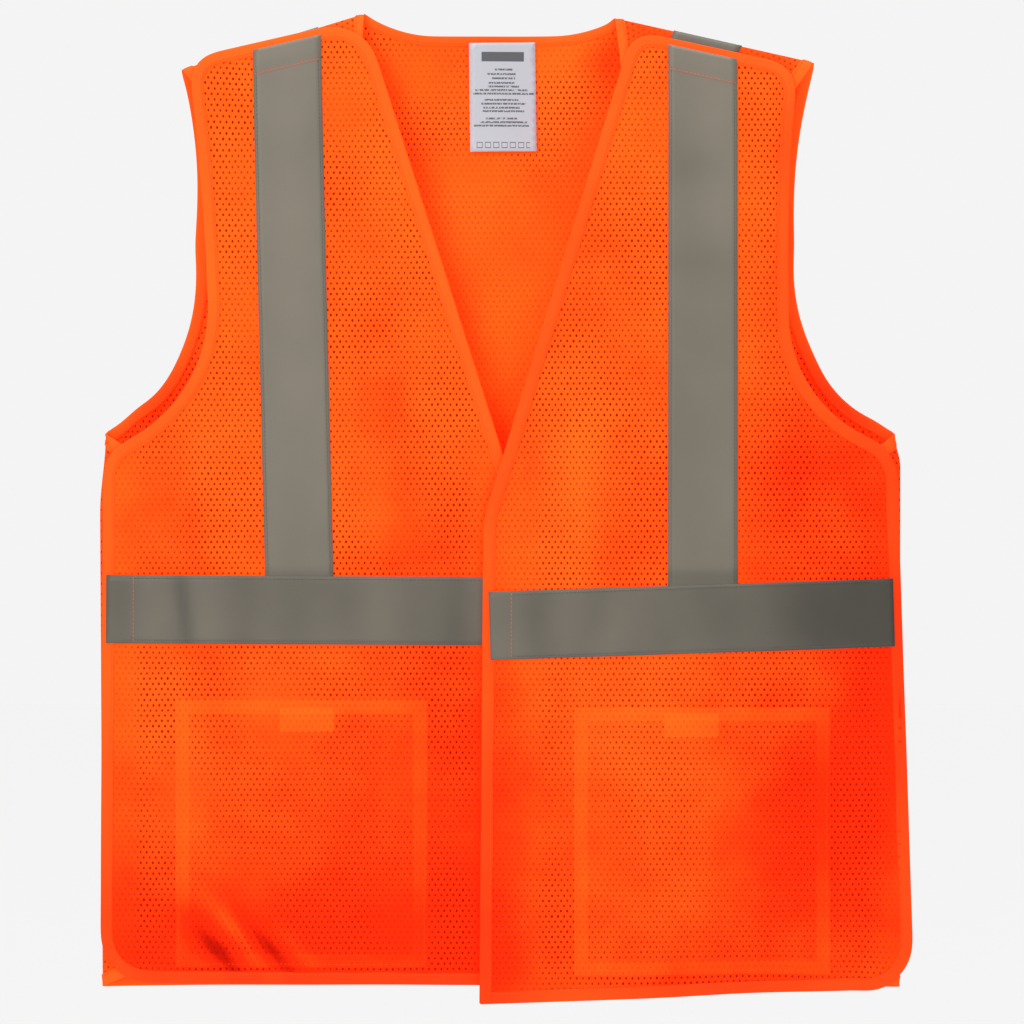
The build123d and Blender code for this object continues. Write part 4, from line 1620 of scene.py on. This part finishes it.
    def build_seams(self) -> None:
        """Sew the binding, the tapes and the pocket."""
        name = self.half.name
        inset = Binding().width - STITCH_INSET
        rows = []
        for run in self.cloth.edges:
            sides = normals_of(run, False)
            rows.append((run + sides * inset)[3:-3])
        binding_rows = Seam().lay(f"{name}_edge_stitches", self.cloth, rows, Binding().height + 0.12 * MM)
        self.hinged(binding_rows, self.finishes.thread, "binding")
        waist_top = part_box(self.node("{}_waist_tape"))[1].z
        tape_rows = [self.waist_path(shift, 14 * MM) for shift in (-23.2 * MM, 23.2 * MM)]
        grey = GREY_SEAM.lay(f"{name}_waist_stitches", self.cloth, tape_rows, 1.2 * MM)
        self.hinged(grey, self.finishes.grey_thread, "reflective_tape")
        cut = self.strap_edges
        strap_rows, ends = [], []
        for foot, head, inward in ((cut.foot[0], cut.head[0], 1), (cut.foot[1], cut.head[1], -1)):
            top = self.shoulder_z(np.array([head]))[0]
            shift = TAPE_STITCH_INSET * inward
            strap_rows.append(np.array([[foot + shift, waist_top + 2 * MM], [head + shift, top - 9 * MM]]))
            ends.append([head + 0.6 * MM * inward, top - 23 * MM])
        straps = GREY_SEAM.lay(f"{name}_strap_stitches", self.cloth, strap_rows, 1.0 * MM)
        self.on_front(straps, self.finishes.grey_thread, "reflective_tape")
        x = self.cross_stitch_x
        middle = np.interp(x, *self.waist_path().T)
        cross = [np.array([[x, middle - 24.4 * MM], [x, middle + 24.4 * MM]]), np.array(ends)]
        crossing = Seam(thread=0.4 * MM).lay(f"{name}_cross_stitches", self.cloth, cross, 1.2 * MM)
        self.on_front(crossing, self.finishes.thread, "binding")
        low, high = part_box(self.node("{}_pocket"))
        near_x, far_x, foot_z = low.x + 3 * MM, high.x - 3 * MM, low.z + 3 * MM
        corners = np.array([[near_x, high.z], [near_x, foot_z], [far_x, foot_z], [far_x, high.z]])
        rows = [corners[0:2], corners[1:3], corners[2:4]]
        pocket = Seam(thread=0.34 * MM).lay(f"{name}_pocket_stitches", self.cloth, rows, 0.3 * MM)
        self.on_front(pocket, self.finishes.thread, "binding")


@dataclass
class Back(Part):
    """The back with its flaps, bindings, tapes, loop strips and label."""

    cloth: BackCloth | None = None
    shades: Sequence[Shade] = ()

    def build(self) -> None:
        """Make the back's pieces."""
        outline = self.cloth.outline()
        rows = np.vstack([fold.rows() for fold in LAY.folds.values()])
        panel = sheet("back_cloth", self.cloth, outline, 6.5 * MM, CLOTH_THICKNESS, rows=rows)
        flat = flat_places(panel)
        tone = self.tone(flat)
        flap = np.zeros(len(flat))
        for fold in LAY.folds.values():
            moved, _, turn = fold.wrap(flat)
            flap = np.maximum(flap, np.where(moved, (1.0 + turn) / 2, 0.0))
        # Painted shade: the flaps that turn under the fronts are painted darker.
        paint(panel, "tone", tone - 0.25 * flap)
        # Strength of the painted shadow in the holes: weaker in the vee below the neck, set by soft random patches,
        # stronger towards the sides, and changed on the flaps.
        in_vee = 1.0 - smooth((np.abs(flat[:, 0]) - 0.05) / 0.05)
        lying = 0.95 - 0.6 * in_vee * (1.0 - smooth((flat[:, 1] + 0.15) / 0.07))
        patches = np.clip(0.6 + 0.4 * Ripple(91, 70 * MM, 1.0).lift(flat), 0.1, 1.0)
        patches = np.maximum(patches, smooth((np.abs(flat[:, 0]) - 0.19) / 0.03))
        paint(panel, "depth", patches * np.maximum(lying, flap) * (1 - 0.3 * flap))
        self.keep(panel, Body.BACK, self.finishes.knit["back"], "mesh_cloth", "back_panel")
        bindings = self.build_bindings()
        self.build_tapes()
        self.build_closures()
        self.build_label()

    def tone(self, flat: Array) -> Array:
        """Painted light and shade on the back, from 0 to 1: lighter higher up, with soft ripples and painted
        patches.
        """
        even = 0.76 + 0.11 * Ripple(90, 110 * MM, 1.0).lift(flat) + 0.1 * flat[:, 1]
        return even + shaded(self.shades, flat)

    def build_bindings(self) -> list[bpy.types.Object]:
        """Fold edge tape over every edge of the back."""
        corners = [LAY.flap(half, "shoulder")[0] for half in (LEFT, RIGHT)]
        neck = [spaced(np.array([corners[0], LAY.neck[0]]), EDGE_STEP)[:-1], LAY.neck,
                spaced(np.array([LAY.neck[-1], corners[1]]), EDGE_STEP)[1:]]
        runs: dict[str, Array] = {"back_neck_binding": np.vstack(neck)}
        left, right = LAY.flap(LEFT, "side"), LAY.flap(RIGHT, "side")
        hem = settled(spaced(np.array([right[1], *LAY.foot_corners(), left[1]]), EDGE_STEP), 1)
        runs["back_hem_binding"] = hem
        for half in HALVES:
            near, far = LAY.flap(half, "side")
            top_near, top_far = LAY.flap(half, "shoulder")
            hole = np.vstack([near[None], LAY.armholes[half.name], top_far[None]])
            hole = np.vstack([spaced(hole[:2], EDGE_STEP)[:-1], hole[1:-1], spaced(hole[-2:], EDGE_STEP)[1:]])
            side = spaced(np.array([far, near]), EDGE_STEP)
            shoulder = spaced(np.array([top_far, top_near]), EDGE_STEP)
            if half.sign < 0:
                hole, side, shoulder = hole[::-1], side[::-1], shoulder[::-1]
            runs[half.node("back_{}_armhole_binding")] = settled(hole, 3)
            runs[half.node("back_{}_side_flap_binding")] = side
            runs[half.node("back_{}_shoulder_flap_binding")] = shoulder
        made = []
        rows = []
        for number, (name, run) in enumerate(runs.items()):
            extra = 0.35 * MM if "flap" in name else 0.0
            trim = Binding(width=6.4 * MM) if "neck" in name else Binding()
            piece = trim.lay(name.replace("binding", "edge"), self.cloth, run, extra=extra)
            # The binding carries the painted light and shade of the cloth beside it, a little darker.
            paint(piece, "tone", np.repeat(self.tone(run) - 0.05, len(trim.section())))
            made.append(self.keep(piece, Body.BACK, self.finishes.binding, "binding", name))
            rows.append((run + normals_of(run, False) * (trim.width - STITCH_INSET))[3:-3])
        for side, lift in (("outer", 1.0), ("inner", -1.0)):
            row = Seam().lay(f"back_{side}_edge_stitches", self.cloth, rows, lift * (Binding().height + 0.12 * MM))
            self.keep(row, Body.BACK, self.finishes.thread, "binding")
        return made

    def build_tapes(self) -> None:
        """Lay the tape round the waist and the two straps."""
        low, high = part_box("back_waist_tape")
        z = (low.z + high.z) / 2
        folds = (LAY.folds["right_side"], LAY.folds["left_side"])
        ends = [np.interp(z, (f.end[1], f.start[1]), (f.end[0], f.start[0])) - f.out[0] * MM for f in folds]
        waist = ribbon("back_waist_band", self.cloth, np.array([[ends[0], z], [ends[1], z]]),
                       high.z - low.z, 0.75 * MM, TAPE_THICKNESS)
        paint(waist, "tone", np.full(len(waist.data.vertices), 0.5))
        self.keep(waist, Body.BACK, self.finishes.tape, "reflective_tape", "back_waist_tape")
        rows = [np.array([[ends[0] + 4 * MM, v], [ends[1] - 4 * MM, v]])
                for v in (low.z + TAPE_STITCH_INSET, high.z - TAPE_STITCH_INSET)]
        for half in HALVES:
            node, lean = half.node("back_{}_strap_tape"), half.drape.strap_lean
            strap_low, strap_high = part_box(node)
            x = (strap_low.x + strap_high.x) / 2
            fold = LAY.folds[f"{half.name}_shoulder"]
            top = fold.height_at(x)
            path = np.array([[x, high.z - 3 * MM], [x + lean, top + 13.0 * MM]])
            strap = ribbon(half.node("back_{}_strap_band"), self.cloth, path, strap_high.x - strap_low.x,
                           0.85 * MM, TAPE_THICKNESS, step=1.1 * MM)
            paint(strap, "tone", np.full(len(strap.data.vertices), 0.55))
            self.keep(strap, Body.BACK, self.finishes.tape, "reflective_tape", node)
            rows += [np.array([[v, high.z + 2 * MM], [v + lean, top - 14 * MM]])
                     for v in (strap_low.x + TAPE_STITCH_INSET, strap_high.x - TAPE_STITCH_INSET)]
        stitches = GREY_SEAM.lay("back_tape_stitches", self.cloth, rows, 1.1 * MM)
        self.keep(stitches, Body.BACK, self.finishes.grey_thread, "reflective_tape")

    def build_closures(self) -> None:
        """Lay the loop strips on the flaps, which face the front's hook strips."""
        for half in HALVES:
            for place in ("side", "shoulder"):
                fold = LAY.folds[f"{half.name}_{place}"]
                node = half.node(f"back_{{}}_{place}_loop")
                middle, size = front_box(node)
                tilt = 0.0
                if place == "shoulder":
                    size, tilt = SHOULDER_STRIP, fold.tilt(half.sign)
                inside = float((fold.start - middle) @ fold.out)
                centre = middle + fold.out * 2 * (inside + fold.give)
                outline = rounded(centre, size, STRIP_CORNER, tilt)
                strip = sheet(f"{node}s", self.cloth, outline, 4 * MM, STRIP_THICKNESS, lift=0.75 * MM)
                self.keep(strip, Body.BACK, self.finishes.loop, "loop", node)

    def build_label(self) -> None:
        """Lay the label on the inside of the neck."""
        centre, size = front_box("neck_label")
        centre[1] += 2 * MM
        outline = rounded(centre, size, 0.8 * MM, 0.012)
        places, triangles = net(outline, 4 * MM)
        waves = 0.5 * MM * np.sin((places[:, 0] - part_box("neck_label")[0].x) / 11 / MM)
        curl = waves + 1.5 * MM * smooth((centre[1] - 24 * MM - places[:, 1]) / 0.02)
        laid = self.cloth.lifted(places, -(1.9 * MM + curl))
        label = new_piece("neck_label_cloth", laid, triangles, places - centre)
        thicken(label, 0.3 * MM)
        self.keep(label, Body.BACK, self.finishes.label, "label", "neck_label")


@dataclass
class Studio:
    """Floor, light and camera."""

    floor_z: float = -1.5
    aim: tuple[float, float, float] = (4.5 * MM, -20 * MM, -357 * MM)
    distance: float = 2.87
    lens: float = 135.0
    world: float = 0.45
    overhead: float = 1.92
    backdrop: float = 0.905

    def build(self) -> None:
        """Set the stage."""
        self.build_floor()
        self.build_world()
        self.build_lights()
        self.build_camera()
        bpy.context.scene.view_settings.view_transform = "Standard"

    def build_floor(self) -> None:
        """Lay the floor well below the hem."""
        bpy.ops.object.select_all(action="DESELECT")
        bpy.ops.mesh.primitive_plane_add(size=40.0, location=(0.0, 0.0, self.floor_z))
        floor = bpy.context.active_object
        floor.name = "studio_floor"
        floor.data.materials.append(FloorFinish().make())

    def build_world(self) -> None:
        """Light the studio evenly, with a plain pale background."""
        world = bpy.data.worlds.new("studio")
        bpy.context.scene.world = world
        world.use_nodes = True
        g = Graph(world.node_tree)
        seen = g.node("LightPath").outputs["Is Camera Ray"]
        strength = g.math("MULTIPLY_ADD", seen, self.backdrop - self.world, self.world)
        light = g.node("Background", {"Color": (1.0, 1.0, 1.0, 1.0), "Strength": strength})
        g.node("OutputWorld", {0: light.outputs[0]})

    def build_lights(self) -> None:
        """A large soft lamp at the upper left, and a broad weak one in front."""
        bpy.ops.object.light_add(type="SUN", location=(0.0, 0.0, 3.0), rotation=(0.0, 0.0, 0.0))
        overhead = bpy.context.active_object
        overhead.name = "overhead_lamp"
        overhead.data.energy = self.overhead
        overhead.data.angle = 0.5
        for name, place, turn, power, size in (
            ("key", (-1.5, -2.2, 1.1), (math.radians(62), 0.0, math.radians(-34)), 30.0, 1.4),
            ("fill", (1.4, -2.6, 0.2), (math.radians(84), 0.0, math.radians(28)), 7.0, 2.4),
        ):
            bpy.ops.object.light_add(type="AREA", location=place, rotation=turn)
            lamp = bpy.context.active_object
            lamp.name = f"{name}_lamp"
            lamp.data.energy = power
            lamp.data.shape = "SQUARE"
            lamp.data.size = size

    def build_camera(self) -> None:
        """Put the camera straight in front."""
        x, y, z = self.aim
        bpy.ops.object.camera_add(location=(x, y - self.distance, z), rotation=(math.pi / 2, 0.0, 0.0))
        camera = bpy.context.active_object
        camera.data.lens = self.lens
        camera.data.sensor_width = 36.0
        camera.data.clip_end = 100.0
        bpy.context.scene.camera = camera


RIGHT_CREASES = (
    Crease((-0.232, -0.660), (-0.200, -0.703), 7 * MM, -2.0 * MM, -0.5),
    Crease((-0.200, -0.652), (-0.150, -0.714), 8 * MM, -2.0 * MM, -0.5),
    Crease((-0.131, -0.692), (-0.068, -0.580), 14 * MM, 1.5 * MM),
    Crease((-0.079, -0.191), (-0.042, -0.229), 10 * MM, -1.0 * MM),
)
LEFT_CREASES = (
    Crease((0.190, -0.540), (0.205, -0.640), 35 * MM, -2.5 * MM),
    Crease((0.160, -0.677), (0.235, -0.602), 12 * MM, 1.4 * MM),
    Crease((0.055, -0.303), (0.058, -0.393), 18 * MM, 2.0 * MM),
    Crease((0.040, -0.199), (0.085, -0.124), 12 * MM, -1.4 * MM),
    Crease((0.190, -0.326), (0.190, -0.363), 22 * MM, -2.0 * MM),
)
BACK_CREASES = (
    Crease((-0.06, -0.20), (0.03, -0.30), 5 * MM, 0.7 * MM),
    Crease((0.05, -0.20), (-0.02, -0.28), 5 * MM, -0.6 * MM),
)


# Painted patches of light and shade on each cloth and tape. The long narrow dark pairs near the right front's hem
# are painted shadow in its creases, with painted light on the ridges between; the dark patches on the back by the
# armholes are painted shade.
RIGHT_SHADES = (
    Shade((-0.180, -0.680), (0.220, 0.055), 0.0, -0.50),
    Shade((-0.060, -0.540), (0.050, 0.160), 0.0, -0.34),
    Shade((-0.140, -0.600), (0.070, 0.080), 0.0, -0.15),
    Shade((-0.060, -0.270), (0.016, 0.070), 0.1, 0.12),
    Shade((-0.230, -0.400), (0.012, 0.060), 0.1, -0.12),
    Shade((-0.115, -0.330), (0.014, 0.090), 0.15, -0.05),
    Shade((-0.110, -0.365), (0.030, 0.024), 0.0, 0.14),
    Shade((-0.2130, -0.6860), (0.028, 0.0072), -0.81, -1.05),
    Shade((-0.1765, -0.6830), (0.031, 0.0068), -0.81, -0.95),
    Shade((-0.1980, -0.6700), (0.034, 0.0075), -0.81, 0.50),
    Shade((-0.1560, -0.6820), (0.020, 0.0070), -0.81, 0.20),
    Shade((-0.0100, -0.6200), (0.030, 0.120), 0.0, -0.20),
    Shade((-0.2700, -0.5600), (0.040, 0.080), 0.0, -0.17),
    Shade((-0.1030, -0.2740), (0.024, 0.024), 0.0, -0.14),
)
LEFT_SHADES = (
    Shade((0.240, -0.440), (0.065, 0.190), 0.1, -0.36),
    Shade((0.218, -0.595), (0.055, 0.075), 0.0, -0.38),
    Shade((0.285, -0.480), (0.030, 0.250), 0.0, -0.15),
    Shade((0.075, -0.470), (0.090, 0.050), 0.0, 0.14),
    Shade((0.057, -0.350), (0.016, 0.060), 0.0, 0.26),
    Shade((0.018, -0.330), (0.012, 0.060), 0.0, -0.12),
    Shade((0.180, -0.250), (0.024, 0.060), 0.3, 0.16),
    Shade((0.218, -0.330), (0.040, 0.034), 0.5, -0.20),
    Shade((0.225, -0.070), (0.028, 0.060), 0.0, -0.22),
    Shade((0.076, -0.200), (0.035, 0.050), 0.3, -0.14),
    Shade((0.130, -0.700), (0.200, 0.050), 0.0, -0.16),
    Shade((-0.010, -0.620), (0.022, 0.140), 0.0, -0.26),
    Shade((-0.008, -0.430), (0.020, 0.110), 0.0, -0.22),
    Shade((0.075, -0.635), (0.050, 0.060), 0.0, -0.17),
    Shade((0.136, -0.656), (0.030, 0.030), 0.0, 0.16),
    Shade((0.282, -0.325), (0.030, 0.040), 0.0, -0.16),
    Shade((0.231, -0.350), (0.030, 0.050), 0.0, 0.16),
    Shade((0.232, -0.490), (0.030, 0.050), 0.0, 0.12),
)
BACK_SHADES = (
    Shade((0.250, -0.268), (0.055, 0.018), -0.75, -0.60),
    Shade((-0.262, -0.275), (0.050, 0.014), 0.80, -0.35),
    Shade((0.075, -0.020), (0.020, 0.020), 0.0, -0.30),
    Shade((-0.008, -0.245), (0.045, 0.080), 0.0, 0.30),
)
RIGHT_TAPE_SHADES = (
    Shade((-0.240, -0.431), (0.006, 0.060), 0.12, -0.24),
    Shade((-0.190, -0.431), (0.016, 0.060), 0.0, -0.10),
    Shade((-0.038, -0.431), (0.012, 0.060), 0.0, -0.14),
    Shade((-0.288, -0.431), (0.022, 0.060), 0.0, -0.10),
)
LEFT_TAPE_SHADES = (
    Shade((0.285, -0.437), (0.085, 0.060), 0.0, -0.62),
    Shade((0.023, -0.437), (0.012, 0.060), 0.0, -0.16),
    Shade((0.066, -0.437), (0.012, 0.060), -0.2, -0.14),
    Shade((0.135, -0.100), (0.030, 0.014), 0.0, -0.12),
    Shade((0.150, -0.170), (0.030, 0.012), 0.0, -0.10),
    Shade((0.147, -0.300), (0.040, 0.120), 0.0, -0.13),
)


@dataclass
class Vest:
    """The whole vest."""

    finishes: Finishes

    def build(self) -> None:
        """Build and dress every part."""
        right = FrontCloth(RIGHT, RIGHT_CREASES)
        left = FrontCloth(LEFT, LEFT_CREASES)
        cloths = {"right": right, "left": left}
        Back(self.finishes, cloth=BackCloth(BACK_CREASES, cloths), shades=BACK_SHADES).build()
        Front(self.finishes, half=RIGHT, cloth=right, shades=RIGHT_SHADES, tape_shades=RIGHT_TAPE_SHADES,
              cross_stitch_x=-0.278, waist_reach=(-0.2985, 0.010), waist_rise=(0.0015, 0.0),
              strap_edges=StrapCut((-0.1793, -0.1285), (-0.1890, -0.1382))).build()
        Front(self.finishes, half=LEFT, cloth=left, shades=LEFT_SHADES, tape_shades=LEFT_TAPE_SHADES,
              cross_stitch_x=0.0040, waist_reach=(-0.0122, 0.2893), waist_rise=(-0.0048, 0.0050),
              strap_edges=StrapCut((0.1205, 0.1725), (0.1210, 0.1722)), side_share=0.65, edge_lift=-0.12).build()


def main() -> None:
    """Build the vest and its studio."""
    logging.basicConfig(level=logging.INFO)
    Vest(Finishes.make()).build()
    Studio().build()


if __name__ == "__main__":
    main()
